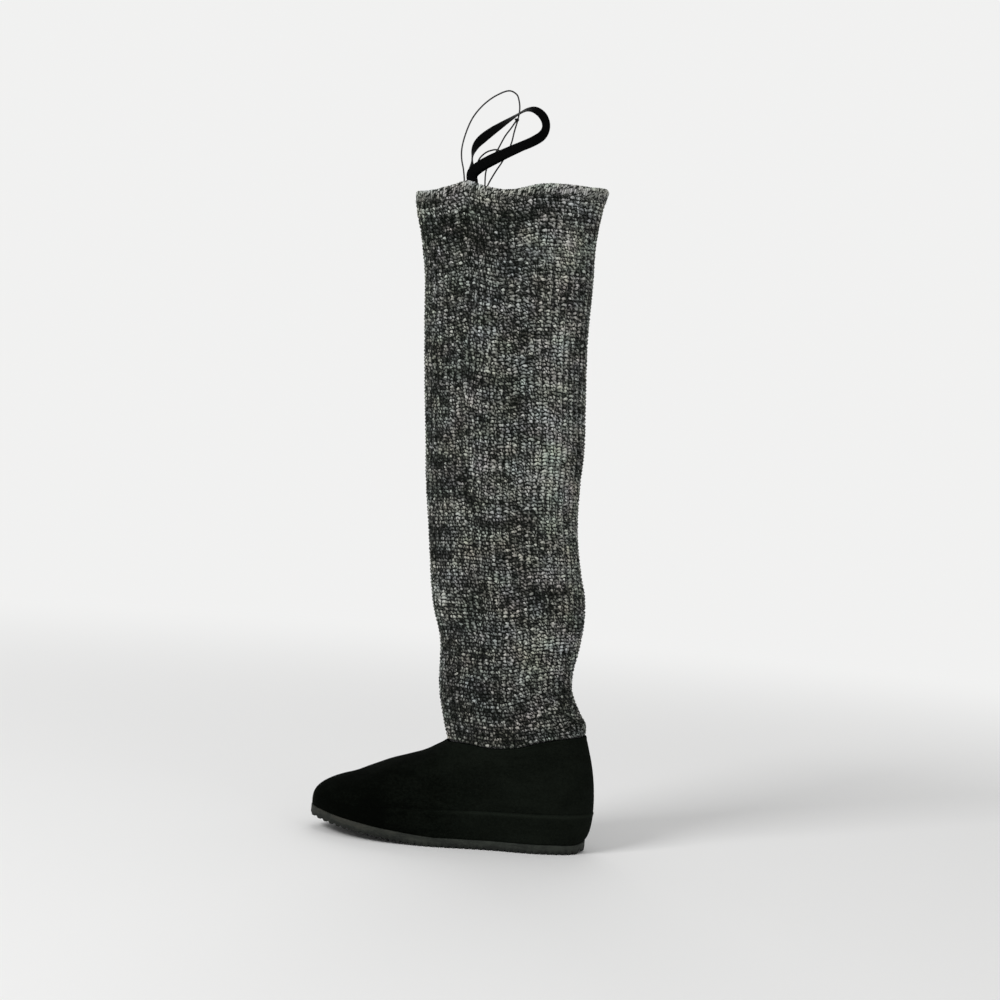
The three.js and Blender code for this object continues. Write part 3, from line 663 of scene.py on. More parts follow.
class Nodes:
    """A node tree, of a material or a world, with short calls that make and link nodes."""

    def __init__(self, name, kind="materials"):
        self.owner = getattr(bpy.data, kind).new(name)
        self.owner.use_nodes = True
        self.tree = self.owner.node_tree

    def link(self, value, socket):
        """Joins an output to a socket, or sets the socket's own value; a colour may be given as a triple."""
        value = getattr(value, "socket", value)
        if isinstance(value, bpy.types.NodeSocket):
            self.tree.links.new(value, socket)
        elif socket.type == "RGBA":
            socket.default_value = (*value, 1)
        else:
            socket.default_value = value

    def node(self, kind, sockets=None, output=0, **settings):
        """One output of a new node, whose sockets and settings are given."""
        node = self.tree.nodes.new("ShaderNode" + kind)
        for key, value in settings.items():
            setattr(node, key, value)
        for key, value in (sockets or {}).items():
            self.link(value, node.inputs[key])
        return Value(self, node.outputs[output])

    def math(self, operation, *values, kind="Math"):
        return self.node(kind, dict(enumerate(values)), operation=operation)

    def place(self):
        """The place on the object, in metres."""
        return self.node("TexCoord", output="Object")

    def attribute(self, name):
        return self.node("Attribute", output="Fac", attribute_name=name)

    def uv(self, name):
        return self.parts(self.node("UVMap", uv_map=name))

    def parts(self, vector):
        split = self.node("SeparateXYZ", {0: vector}).socket.node
        return [Value(self, output) for output in split.outputs]

    def colour(self, share, dark, light):
        return self.node("Mix", {0: share, 6: dark, 7: light}, output=2, data_type="RGBA")

    def noise(self, place, scale, detail=2.0, roughness=0.5, output=0):
        """Noise of a scale, or of three, one along each axis."""
        if isinstance(scale, tuple):
            place, scale = self.node("Mapping", {"Vector": place, "Scale": scale}), 1.0
        sockets = {"Vector": place, "Scale": scale, "Detail": detail, "Roughness": roughness}
        return self.node("TexNoise", sockets, output)

    def streaks(self, value, scale):
        """Noise along one value."""
        sockets = {"W": value, "Scale": scale, "Detail": 1.0}
        return self.node("TexNoise", sockets, noise_dimensions="1D")

    def bump(self, height, distance, strength):
        return self.node("Bump", {"Height": height, "Distance": distance, "Strength": strength})

    def finish(self, **values):
        """Sets or links the shader's sockets, by name with _ for a space; the result is the material."""
        for key, value in values.items():
            self.link(value, self.tree.nodes["Principled BSDF"].inputs[key.replace("_", " ")])
        return self.owner


def yarn_material():
    """Marled yarn: a light and a dark ply twisted together. The light ply is brighter in some lengths of
    yarn, in streaks along the courses and in soft blotches. The mesh's tone lightens or darkens it: partly
    uneven dye, partly painted light and shade over the shaft's folds and sides. Its shade is painted
    shade, which darkens it where it dips between the ribs."""
    nodes = Nodes("marled_yarn")
    stitch, around, _ = nodes.uv("yarn")
    place, tone, shade = nodes.place(), nodes.attribute("tone"), nodes.attribute("shade")
    turns = stitch * YARN_TWIST + around
    # The plies' twist is uneven along a stitch, and drifts from stitch to stitch.
    ply = (nodes.streaks(stitch, 1.1) * 9.0 + nodes.streaks(stitch, 0.12) * 70.0 + turns * FULL_TURN).sine()
    fibre = nodes.noise(nodes.node("CombineXYZ", {0: stitch * 5.0, 1: turns * 16.0}), 1.0, 2.0, 0.7)
    fleck, length, streak = (nodes.streaks(stitch, scale) for scale in (2.6, 0.8, 0.08))
    blotch = nodes.noise(place, (60.0, 60.0, 22.0), 3.0, 0.8)
    edge = ply + fibre.span(0.25, 0.75, -0.35, 0.35) + fleck.span(0.25, 0.75, -1.1, 1.1) + tone * 0.7
    bright = tone * 0.7 + length.span(0.25, 0.75, 0.26, 0.94) + streak.span(0.25, 0.75, -0.22, 0.20)
    bright = nodes.math("MAXIMUM", bright + blotch.span(0.3, 0.7, -0.10, 0.10), 0.08)
    share = edge.span(-0.75, 0.55, 0.05, 1.0) * bright * shade
    marl = nodes.colour(share, dark=(0.0034, 0.0048, 0.0034), light=(0.57, 0.585, 0.54))
    hue = nodes.noise(place, (40.0, 40.0, 55.0), output="Color")
    tint = nodes.math("MULTIPLY_ADD", hue, (0.32, 0.19, 0.38), (0.84, 0.905, 0.81), kind="VectorMath")
    return nodes.finish(
        Base_Color=nodes.math("MULTIPLY", marl, tint, kind="VectorMath"), Roughness=0.95,
        Specular_IOR_Level=0.05, Sheen_Weight=0.04, Sheen_Roughness=0.4, Sheen_Tint=(0.66, 0.76, 0.63),
        Normal=nodes.bump(ply * 0.6 + fibre * 2.4, 0.00035, 0.9),
    )


def hair_material():
    nodes = Nodes("loose_fibres")
    share = nodes.attribute("tone").span(0.25, 0.75)
    colour = nodes.colour(share, dark=(0.02, 0.022, 0.02), light=(0.40, 0.41, 0.38))
    return nodes.finish(Base_Color=colour, Roughness=0.9, Specular_IOR_Level=0.1)


def ground_material(name, light):
    """The knit's ground behind the ribs, or its inner face, with rows of small arcs."""
    nodes = Nodes(name)
    wale, course, _ = nodes.uv("knit")
    place = nodes.place()
    arch = nodes.math("ABSOLUTE", (wale * math.pi).sine()) * 0.7
    height = ((course + arch) * FULL_TURN).sine().span(-1.0, 1.0)
    fleck = nodes.noise(place, (260.0, 260.0, 520.0), 2.0, 0.7)
    streak = nodes.noise(place, (16.0, 16.0, 150.0), 1.0)
    share = fleck.span(0.38, 0.66) * height.span(0.1, 0.9) * streak.span(0.3, 0.7, 0.45, 1.0)
    return nodes.finish(
        Base_Color=nodes.colour(share, dark=(0.003, 0.0036, 0.0033), light=light), Roughness=0.95,
        Specular_IOR_Level=0.15, Sheen_Weight=0.2, Sheen_Roughness=0.5,
        Normal=nodes.bump(height, 0.0012, 0.9),
    )


def suede_material():
    """Black suede: a short nap, brushed one way here and the other there, and darker towards the toe, a
    painted shade. The mesh's points carry a painted highlight that lightens it along the platform's full edge
    under the seam, where that edge catches the light."""
    nodes = Nodes("black_suede")
    place = nodes.place()
    nap = nodes.noise(place, (1500.0, 1900.0, 2400.0), 2.0, 0.7)
    tufts = nodes.noise(place, (330.0, 420.0, 520.0), 3.0, 0.6)
    bend = nodes.noise(place, 14.0, output="Color")
    bent = nodes.math("MULTIPLY_ADD", bend, (0.03, 0.03, 0.03), place, kind="VectorMath")
    brushed = nodes.noise(bent, (22.0, 26.0, 60.0), 3.0, 0.6)
    share = brushed.span(0.36, 0.64, 0.25, 0.42) + tufts.span(0.3, 0.7, -0.08, 0.12)
    # the mesh's painted highlight along the platform's full edge under the seam
    share = share + nap.span(0.3, 0.7, -0.12, 0.20) + nodes.attribute("painted_highlight") * 0.5
    # painted shade: darker towards the toe, holding back the light on the toe's upward faces
    share = share + nodes.parts(place)[0].span(0.05, 0.18, 0.06, -0.40)
    return nodes.finish(
        Base_Color=nodes.colour(share, dark=(0.0012, 0.0016, 0.0011), light=(0.0108, 0.0138, 0.0102)),
        Roughness=brushed.span(0.3, 0.7, 0.98, 0.9), Specular_IOR_Level=0.012, Sheen_Weight=0.01,
        Sheen_Roughness=0.42, Sheen_Tint=(0.60, 0.68, 0.58),
        Normal=nodes.bump(nap + tufts * 1.2, 0.0004, 0.8),
    )


def rubber_material():
    """Grey-black moulded rubber, mottled and a little dusty, darker towards the tread. The mesh's rise goes
    from 0 at the tread to 1 at the upper edge."""
    nodes = Nodes("outsole_rubber")
    place = nodes.place()
    cloud = nodes.noise(place, (55.0, 55.0, 160.0), 4.0, 0.65)
    scuff = nodes.noise(place, (90.0, 90.0, 900.0), 3.0, 0.7)
    dust = nodes.noise(place, 300.0, 3.0, 0.7)
    share = cloud.span(0.34, 0.66, 0.05, 0.60) + dust.span(0.45, 0.75, -0.08, 0.20)
    share = share + scuff.span(0.5, 0.75, 0.0, 0.25) + nodes.attribute("rise").span(0.1, 0.6, -0.35, 0.12)
    brown = nodes.parts(place)[0].span(0.06, 0.22) * cloud.span(0.3, 0.7, 0.3, 1.0)
    light = nodes.colour(brown, (0.041, 0.047, 0.038), (0.046, 0.044, 0.036))
    return nodes.finish(
        Base_Color=nodes.colour(share, (0.0095, 0.0112, 0.0092), light),
        Roughness=cloud.span(0.3, 0.7, 0.62, 0.82), Specular_IOR_Level=0.2,
        Normal=nodes.bump(nodes.noise(place, 1100.0, 2.0, 0.6), 0.00018, 0.6),
    )


def ribbon_material():
    nodes = Nodes("black_ribbon")
    along, across, _ = nodes.uv("weave")
    ribs, warp = (along * (FULL_TURN / 0.0006)).sine(), (across * (FULL_TURN / 0.00045)).sine()
    lint = nodes.noise(nodes.place(), 900.0, 3.0, 0.7).span(0.45, 0.75)
    return nodes.finish(
        Base_Color=nodes.colour(lint, dark=(0.0004, 0.0004, 0.0005), light=(0.0016, 0.0016, 0.0017)),
        Roughness=ribs.span(-1.0, 1.0, 0.55, 0.42), Specular_IOR_Level=0.03, Sheen_Weight=0.01,
        Sheen_Roughness=0.35, Normal=nodes.bump(ribs + warp * 0.35, 0.00012, 0.6),
    )


def thread_material():
    nodes = Nodes("black_thread")
    along, around, _ = nodes.uv("weave")
    ply = (along * (FULL_TURN / 0.0016) + around * (FULL_TURN * 2 / 0.0028)).sine()
    return nodes.finish(
        Base_Color=nodes.colour(ply.span(-1.0, 1.0), dark=(0.003,) * 3, light=(0.012,) * 3), Roughness=0.55,
        Specular_IOR_Level=0.4, Normal=nodes.bump(ply, 0.00012, 0.7),
    )


def lining_material():
    nodes = Nodes("insole_cloth")
    place = nodes.place()
    x, y, _ = nodes.parts(place)
    twill = ((x + y) * (FULL_TURN / 0.0011)).sine()
    share = twill.span(-1.0, 1.0, 0.0, 0.4) + nodes.noise(place, 40.0, 3.0, 0.6).span(0.3, 0.7, 0.0, 0.6)
    colour = nodes.colour(share, dark=(0.006, 0.006, 0.006), light=(0.02, 0.02, 0.019))
    return nodes.finish(Base_Color=colour, Roughness=0.9, Normal=nodes.bump(twill, 0.0001, 0.6))


# ------------------------------------------------------------------ camera, floor and light
def camera():
    """The photo's angle: square to the outer side, a third of a metre up, rolled so that the toe rises."""
    data = bpy.data.cameras.new("camera")
    data.sensor_width = 36.0
    data.lens = CAMERA_LENS
    data.clip_end = 20.0
    lens = add_object("camera", data)
    roll = Matrix.Rotation(math.radians(CAMERA_ROLL), 4, "Z")
    facing = Matrix.Rotation(math.pi, 4, "Z") @ Matrix.Rotation(math.pi / 2, 4, "X")
    lens.matrix_world = Matrix.Translation(to_frame(CAMERA_PLACE)) @ facing @ roll
    bpy.context.scene.camera = lens


def area_light(name, place, target, size, power):
    """A square soft light at a place, turned to a target, both in metres."""
    data = bpy.data.lights.new(name, "AREA")
    data.shape = "SQUARE"
    data.size = size
    data.energy = power
    way = Vector(target) - Vector(place)
    turned = way.to_track_quat("-Z", "Y").to_matrix().to_4x4()
    add_object(name, data).matrix_world = Matrix.Translation(place) @ turned


def studio():
    """A pale floor that fades into an even pale surround, with soft light."""
    nodes = Nodes("studio_floor")
    nodes.finish(Base_Color=PALE, Roughness=0.9, Specular_IOR_Level=0.1)
    far = nodes.node("VectorMath", {0: nodes.place()}, output="Value", operation="LENGTH")
    near, glow = nodes.tree.nodes["Principled BSDF"].outputs[0], nodes.node("Emission", {"Color": PALE})
    mix = nodes.node("MixShader", {0: far.span(*FLOOR_FADE), 1: near, 2: glow})
    nodes.link(mix, nodes.tree.nodes["Material Output"].inputs["Surface"])
    mesh = bpy.data.meshes.new("floor")
    corners = [(x * FLOOR_HALF, y * FLOOR_HALF, 0) for x, y in ((-1, -1), (1, -1), (1, 1), (-1, 1))]
    mesh.from_pydata(corners, [], [(0, 1, 2, 3)])
    mesh.materials.append(nodes.owner)
    floor = add_object("floor", mesh)
    for name, light in LIGHTS.items():
        area_light(name, *light)
    nodes = Nodes("studio", "worlds")
    sky = nodes.node("Background", {"Color": (1, 1, 1), "Strength": 0.5})
    seen = nodes.node("Background", {"Color": PALE})
    ray = nodes.node("LightPath", output="Is Camera Ray")
    either = nodes.node("MixShader", {0: ray, 1: sky, 2: seen})
    nodes.link(either, nodes.tree.nodes["World Output"].inputs["Surface"])
    bpy.context.scene.world = nodes.owner
    bpy.context.scene.view_settings.view_transform = "Standard"


# ------------------------------------------------------------------ ribbon and threads
def inside_collar(angle, depth, gap):
    """A point just inside the collar, from the knit's inner face and below the rim."""
    return oval(angle, collar_z(angle) - depth, KNIT_WALL + gap)


def tube(name, line, wide, high, across, sides, material, slot, *nodes):
    """A closed tube of an oval section along a line, wide along across and high along its other side. Its map
    weave holds the metres along it and round it."""
    along = unit(np.gradient(line, axis=0))
    across = unit(across - along * np.sum(across * along, axis=1, keepdims=True))
    through = np.cross(along, across)
    power = 4 if wide > 2 * high else 2  # a ribbon's section is a rounded bar, a thread's is round
    u, v = round_section(np.arange(sides) * 2 * np.pi / sides, power)
    section = np.stack([u * wide, v * high], axis=1)
    rings = line[:, None] + across[:, None] * section[:, :1] + through[:, None] * section[:, 1:]
    first, last = (np.repeat(line[[end], None], sides, axis=1) for end in (0, -1))
    faces = quads(len(line) + 2, sides, wrap_columns=True)
    weave = strip_uv(np.pad(run_lengths(line), 1, mode="edge") * MM, run_lengths(closed(section)) * MM)
    rings = np.concatenate([first, rings, last])
    return add_piece(name, rings, faces, material, slot, *nodes, uv_maps={"weave": weave}, merge=True)


def ribbon_tail(gap):
    return [inside_collar(TAIL_ANGLE, depth, gap) for depth in TAIL_DEPTHS]


def ribbon(material):
    """The pull loop, and its loose end behind the lower run."""
    loop, end = (np.stack([rows[name] for name in "xyz"], axis=1) for rows in (RIBBON, RIBBON_END))
    points = [*ribbon_tail(TAIL_INNER)[::-1], *loop, *ribbon_tail(TAIL_OUTER)]
    flat = [90] * len(TAIL_DEPTHS)
    turn = curve_through(np.arange(len(points)), np.array([*flat, *RIBBON["turn"], *flat], float))
    line = catmull_rom(points, RIBBON_STEPS)
    along = unit(np.gradient(line, axis=0))
    rim = inside_collar(TAIL_ANGLE + 1, 0, 0) - inside_collar(TAIL_ANGLE - 1, 0, 0)
    outward = unit(np.array([rim[1], -rim[0], 0]))  # the knit's, where the ribbon's tails lie
    edge_on = unit(outward - along * (along @ outward)[:, None])
    swing = np.radians(turn(np.linspace(0, len(points) - 1, len(line))))[:, None]
    across = edge_on * np.cos(swing) + np.cross(along, edge_on) * np.sin(swing)
    half = RIBBON_WIDTH / 2, RIBBON_THICKNESS / 2
    tube("pull_ribbon", line, *half, across, RIBBON_SIDES, material, "ribbon", "pull_loop")
    line = catmull_rom([*end, *ribbon_tail(END_SEAT)], END_STEPS)
    across = np.cross(unit(np.gradient(line, axis=0)), outward)
    tube("ribbon_end", line, *half, across, RIBBON_SIDES, material, "ribbon")


def thread(name, line, across, material, *nodes):
    radius = THREAD_DIAMETER / 2
    return tube(name, line, radius, radius, across, THREAD_SIDES, material, "thread", *nodes)


def knot(material):
    """The small knot that ties the short thread to the long one: a trefoil drawn tight."""
    turn = np.linspace(0, 2 * np.pi, 49)
    x, z = np.sin(turn) + 2 * np.sin(2 * turn), np.cos(turn) - 2 * np.cos(2 * turn)
    line = np.array(KNOT_PLACE) + np.stack([x, 1.6 * np.sin(3 * turn), z], axis=1) * KNOT_RADIUS / 3
    return thread("cord_knot", line, np.cross(unit(np.gradient(line, axis=0)), [0.3, 1.0, 0.2]), material)


def threads(material):
    knots = [knot(material)]
    for name, (start, end, seat, *points) in THREADS.items():
        first = [inside_collar(start, depth, seat) for depth in THREAD_DEPTHS]
        last = [inside_collar(end, depth, seat) for depth in THREAD_DEPTHS][::-1] if end else []
        line = catmull_rom([*first, *points, *last], THREAD_STEPS)
        across = np.broadcast_to([0.0, 1.0, 0.0], line.shape)
        cord = thread(name.replace("thread", "cord"), line, across, material, name)


# ------------------------------------------------------------------ the knit shaft
STITCH = np.mod(np.arange(ROW_POINTS) / STITCH_STEPS, 1)  # from 0 between two ribs to 1 at the next
BOW = (1 - np.cos(2 * np.pi * STITCH)) / 2  # from 0 between two ribs to 1 on a rib


def yarn_courses(first, last, reverse=False):
    """The yarn's centre line for courses first to last, the cloth's normals there, and its tone and shade.
    On the reverse the ribs lie between those of the face."""

    def loose(name):
        *cells, seed, size = UNEVEN[name]
        return smooth_noise((COURSES, ROW_POINTS), cells, seed)[first:last] * size

    arch = 0.25 * (1 - np.abs(2 * STITCH - 1)) + 0.75 * BOW - 0.5
    around = np.arange(ROW_POINTS) / ROW_POINTS
    around = around + (loose("sway") + loose("shift")) / WALES
    if reverse:
        around = around + 0.5 / WALES
    up = np.arange(first, last)[:, None] + FIRST_COURSE
    up = up + loose("hang") + loose("lift")
    up = (up + ARCH_RISE * (1 + loose("arch")) * arch) / COURSES
    clear = np.clip((up - CLEAR_FROM) * 6, 0, 1)
    gap = 1 + (loose("long dips") + loose("short dips")) * (1 - 0.8 * clear)
    dive = REVERSE_DIVE if reverse else RIB_DIVE
    depth = YARN_INSET + dive * gap * (1 + 0.3 * clear) * (1 - BOW) ** 1.2 + ARCH_DIVE * BOW**3
    depth = depth + loose("depth")
    if reverse:
        depth = KNIT_WALL + REVERSE_PROUD - depth
    skin, normal = shaft.frame_at(around, up)
    # tone: uneven dye, with the table's painted light and shade
    tone = wave(*shaft.place(around, up), TONES_AND_PAINTED_LIGHT) + loose("stitch tone")
    tone = tone + loose("patch tone") + loose("broad tone")
    # painted shade: the yarn darker where it dips between the ribs, and more so towards the collar
    valley = 0.46 - 0.32 * clear
    crest = np.clip(BOW * (1.9 - 0.5 * clear) / gap, 0, 1) ** (1.3 + 0.3 * clear)
    shade = valley + (1.02 + 0.12 * clear - valley) * crest
    return skin - normal * depth[..., None], normal, tone, shade


def yarn_turns(sides):
    """The angles of the yarn's section, from the cloth's own plane; a quarter turn faces out."""
    return (np.arange(sides) + 0.25) * 2 * np.pi / sides


def yarn_piece(name, lines, normals, tone, shade, width, stitches, material, sides=YARN_SIDES,
               high=YARN_HIGH, round_shaft=True):
    """Tubes of yarn along rows of points, of a half width at each point; rows round the shaft are closed.
    Their map yarn holds the stitches along the yarn, and the share of the way round it. Their shade is given
    for each point of the line, or for each side of the yarn there."""
    rows, steps = lines.shape[:2]
    if round_shaft:
        along = unit(np.roll(lines, -1, axis=1) - np.roll(lines, 1, axis=1))
    else:
        along = unit(np.gradient(lines, axis=1))
    across = unit(np.cross(along, normals))
    through = np.cross(across, along)
    u, v = (side(yarn_turns(sides))[:, None] * width[..., None, None] for side in (np.cos, np.sin))
    rings = lines[..., None, :] + across[..., None, :] * u + through[..., None, :] * v * high / YARN_WIDE
    faces = quads(steps, sides, wrap_rows=round_shaft, wrap_columns=True)
    faces = (faces[None] + np.arange(rows)[:, None, None] * steps * sides).reshape(-1, 4)
    round_it = np.linspace(0, 1, sides + 1)
    corners = steps + round_shaft
    yarn = np.concatenate([strip_uv(row[:corners], round_it) for row in stitches])
    bake_rows = (np.arange(rows)[:, None] + 0.1 + 0.8 * round_it) / rows
    bake = np.concatenate([strip_uv(np.linspace(0, 1, corners), row) for row in bake_rows])
    shade = np.broadcast_to(shade.reshape(*tone.shape, -1), (*tone.shape, sides))
    uv_maps, values = {"yarn": yarn, "OFBake": bake}, {"tone": np.repeat(tone, sides), "shade": shade}
    piece = add_piece(name, rings, faces, material, "knit", uv_maps=uv_maps, values=values)
    if not round_shaft:
        rework(piece.data, close_ends)


def knit(yarn):
    """The shaft's yarn, in a few pieces from the throat to the hem, and the first rows of its reverse."""
    slub = smooth_noise((COURSES, ROW_POINTS), (COURSES, 3 * WALES), 15)
    width = YARN_WIDE * (YARN_THIN + (1 - YARN_THIN) * BOW**0.6) * (1 + 0.12 * slub)
    stitches = np.arange(COURSES)[:, None] * WALES + np.arange(ROW_POINTS + 1) / STITCH_STEPS
    ends = np.linspace(0, COURSES, KNIT_PIECES + 1).astype(int)
    for i, (first, last) in enumerate(zip(ends[:-1], ends[1:])):
        rows = slice(first, last)
        yarn_piece(f"knit_{i + 1}", *yarn_courses(first, last), width[rows], stitches[rows], yarn)
    first = COURSES - REVERSE_COURSES
    coarse = [part[:, ::2] for part in yarn_courses(first, COURSES, reverse=True)]
    yarn_piece("knit_reverse", *coarse, width[first:, ::2], stitches[first:, ::2] + 0.5, yarn, sides=4)


def hairs(material):
    """Short fibres that stand out of the yarn, each a fine bent cone on three sides."""
    rng = np.random.default_rng(61)
    around, up = rng.uniform(0, 1, HAIRS), rng.uniform(0.01, 1.7, HAIRS) ** 0.9
    up = np.where(up > 1, 1 + (up - 1) * 0.4, up)
    skin, normal = shaft.frame_at(around, up)
    level = unit(np.cross([0.0, 0.0, 1.0], normal))
    heading, lean = rng.uniform(0, 2 * np.pi, HAIRS)[:, None], rng.uniform(0.3, 2.2, HAIRS)[:, None]
    flat = level * np.cos(heading) + np.cross(normal, level) * np.sin(heading)
    way = unit(normal + flat * lean)
    bent = unit(way + rng.normal(0, 0.55, (HAIRS, 3)))
    length = rng.uniform(1.0, 3.2, HAIRS)[:, None]
    root = skin - normal * 0.6
    middle = root + way * length * 0.55
    tip = middle + bent * length * 0.45
    side = unit(np.cross(way, flat + normal * 0.1))
    turn = (np.arange(3) * 2 * np.pi / 3)[:, None]
    spoke = (side[:, None] * np.cos(turn) + np.cross(way, side)[:, None] * np.sin(turn)) * HAIR_RADIUS
    points = np.concatenate([root[:, None] + spoke, middle[:, None] + spoke * 0.7, tip[:, None]], axis=1)
    one = [[2, 1, 0]]  # one fibre's faces: its foot, then three sides of two steps and the tip
    for k, after in ((0, 1), (1, 2), (2, 0)):
        one += [[k, after, 3 + after], [k, 3 + after, 3 + k], [3 + k, 3 + after, 6]]
    one, each = np.array(one), np.arange(HAIRS)
    faces = (one[None] + each[:, None, None] * 7).reshape(-1, 3)
    cells = math.ceil(math.sqrt(HAIRS))  # along each side of the bake map, one for each fibre
    corner = np.stack([each % cells, each // cells], axis=1)
    spots = np.array([[0.1, 0.1], [0.1, 0.5], [0.1, 0.9], [0.5, 0.1], [0.5, 0.5], [0.5, 0.9], [0.9, 0.5]])
    uv_maps = {"OFBake": (corner[:, None, None] + spots[one]) / cells}
    values = {"tone": np.repeat(rng.uniform(0, 1, HAIRS), 7)}
    add_piece("knit_hairs", points, faces, material, "knit", uv_maps=uv_maps, values=values)


def hem(yarn):
    """The hem's stitches: short lengths of yarn side by side, folded over the rim to the inside."""
    leg, share = np.arange(HEM_LEGS)[:, None], np.linspace(0, 1, HEM_POINTS)

    def loose(name):
        *cells, seed, size = HEM_UNEVEN[name]
        return smooth_noise((HEM_LEGS, HEM_POINTS), cells, seed, wrap=False) * size

    around = (leg + 0.5 + loose("shift")) / HEM_LEGS
    outside, inside = np.clip(share / FOLD_START, 0, 1), np.clip((share - FOLD_END) / (1 - FOLD_END), 0, 1)
    fold = np.pi * np.clip((share - FOLD_START) / (FOLD_END - FOLD_START), 0, 1)
    drop = HEM_DROP * (1 - outside + inside) + HEM_CREST * (1 - np.sin(fold))
    up = 2 - (drop + loose("drop")) / HEM_HEIGHT
    deep = -0.25 + 0.9 * (1 - outside) ** 2 + (1 - np.cos(fold)) / 2 * (KNIT_WALL - 1.0)
    deep = deep - 1.4 * inside**3 + loose("depth")
    skin, normal = shaft.frame_at(around, up)
    lines = skin - normal * (deep + YARN_INSET * 0.6)[..., None]
    turned = normal * np.cos(fold)[:, None]
    turned[..., 2] += np.sin(fold)
    width = 1.05 + 0.2 * np.exp(-(((share - 0.62) / 0.14) ** 2)) + loose("width")
    stitches = leg * 7.3 + np.linspace(0, 1.6, HEM_POINTS)
    # painted light and shade: the hem lighter towards the rim, darker at its foot and inside the collar
    tone = wave(*shaft.place(around, up), TONES_AND_PAINTED_LIGHT) + 0.15 + 0.4 * outside - 0.5 * inside
    tone = tone + 0.25 * np.cos(2 * np.pi * leg * WALES / HEM_LEGS) + loose("tone")
    shade = np.broadcast_to(0.5 + 0.42 * outside**0.8 - 0.45 * inside, up.shape)
    front = np.clip(np.sin(yarn_turns(HEM_SIDES)), 0, 1)
    shade = shade[..., None] * (0.45 + 0.65 * front)  # painted shade: darker where two lengths meet
    yarn_piece("knit_hem", lines, unit(turned), tone, shade, width, stitches, yarn, HEM_SIDES, 0.9, False)


def ring_bake(outer, inner, columns, outer_end, inner_start):
    """A bake map for a hollow wall: its outer rows, then its inner ones, and a row more where it closes."""
    rows = np.concatenate([np.linspace(0, outer_end, outer), np.linspace(inner_start, 0.99, inner), [1.0]])
    return strip_uv(rows, np.linspace(0, 1, columns + 1))[:, ::-1]


def ground(behind, inside):
    """The cloth behind the ribs: a thin wall from the throat to under the hem."""
    columns = WALES * 3
    around = np.arange(columns) / columns
    rib = 0.25 * np.cos(2 * np.pi * WALES * around)
    up = np.concatenate([np.linspace(0.0, 1, 60), [1.25, 1.5, 1.75, 1.9]])[:, None]
    hemmed = np.clip((up - 1) * 3, 0, 1)
    behind_reverse = np.clip((up - 1 + (REVERSE_COURSES + 1) / COURSES) * COURSES / 3, 0, 1)
    outer = shaft.skin(around, up, 1.4 * hemmed - GROUND_DEPTH)
    inner = shaft.skin(around, up, -KNIT_WALL + 0.2 + rib * (1 - behind_reverse) + 0.4 * behind_reverse)
    rings = np.concatenate([outer, inner[::-1]])
    faces = quads(len(rings), columns, wrap_rows=True, wrap_columns=True)
    courses = closed(np.concatenate([up[:, 0], up[::-1, 0]])) * COURSES
    knit_map = strip_uv(courses, np.arange(columns + 1) / 3)[:, ::-1]
    uv_maps = {"knit": knit_map, "OFBake": ring_bake(len(up), len(up), columns, 0.49, 0.51)}
    piece = add_piece("knit_ground", rings, faces, behind, "knit", "shaft", uv_maps=uv_maps)
    piece.data.materials.append(inside)
    row = np.arange(len(faces)) // columns
    piece.data.polygons.foreach_set("material_index", (row >= len(up)).astype(np.int32))


# ------------------------------------------------------------------ the suede foot and its platform
def crease(points, normals):
    """Moves a surface along its normals by the foot's faint creases."""
    total = np.zeros(points.shape[:-1])
    for x, y, z, long, tall, out, lean in zip(*CREASES.values()):
        dx, dz = points[..., 0] - x, points[..., 2] - z
        run, rise = dx + lean * dz, dz - lean * dx
        same_side = 1 / (1 + np.exp(-points[..., 1] * np.sign(y) / 4))
        total += out * np.exp(-((run / long) ** 2) - (rise / tall) ** 2) * same_side
    return points + normals * total[..., None]


def seam_fade(grid):
    """How much of the seam's groove is left: less towards the toe, where the suede is drawn over it."""
    return 1 / (1 + np.exp((grid[:, :1, 0] - SEAM_FADES) / 12))


def upper(suede):
    """The foot's wall, with a rolled edge at the throat and an edge turned in at the seam."""
    foot = Foot(UPPER_TURNS)
    outer = foot.rows(foot.seam_lengths(SEAM_GAP), foot.lengths[:, -1], UPPER_ROWS, 0.5)
    normals = grid_normals(outer)
    outer = crease(outer, normals)
    row = np.arange(UPPER_ROWS)
    below = row[::-1]  # the throat
    swell = THROAT_ROLL * np.exp(-(((below - 3.0) / 2.6) ** 2)) - EDGE_TURN * np.exp(-below / 0.8)
    swell = swell - (TOE_SEAM_TURN + SEAM_TURN * seam_fade(outer)) * np.exp(-row / 1.6)
    outer = outer + normals * swell[..., None]
    inner = outer[:, ::3] - normals[:, ::3] * (UPPER_WALL - 0.2)
    rings = np.concatenate([outer, inner[:, ::-1]], axis=1).transpose(1, 0, 2)
    faces = quads(len(rings), UPPER_TURNS, wrap_rows=True, wrap_columns=True)
    bake = ring_bake(UPPER_ROWS, inner.shape[1], UPPER_TURNS, 0.78, 0.8).reshape(-1, 4, 2)[:, ::-1]
    add_piece("suede_upper", rings, faces[:, ::-1], suede, "suede", "upper", uv_maps={"OFBake": bake})


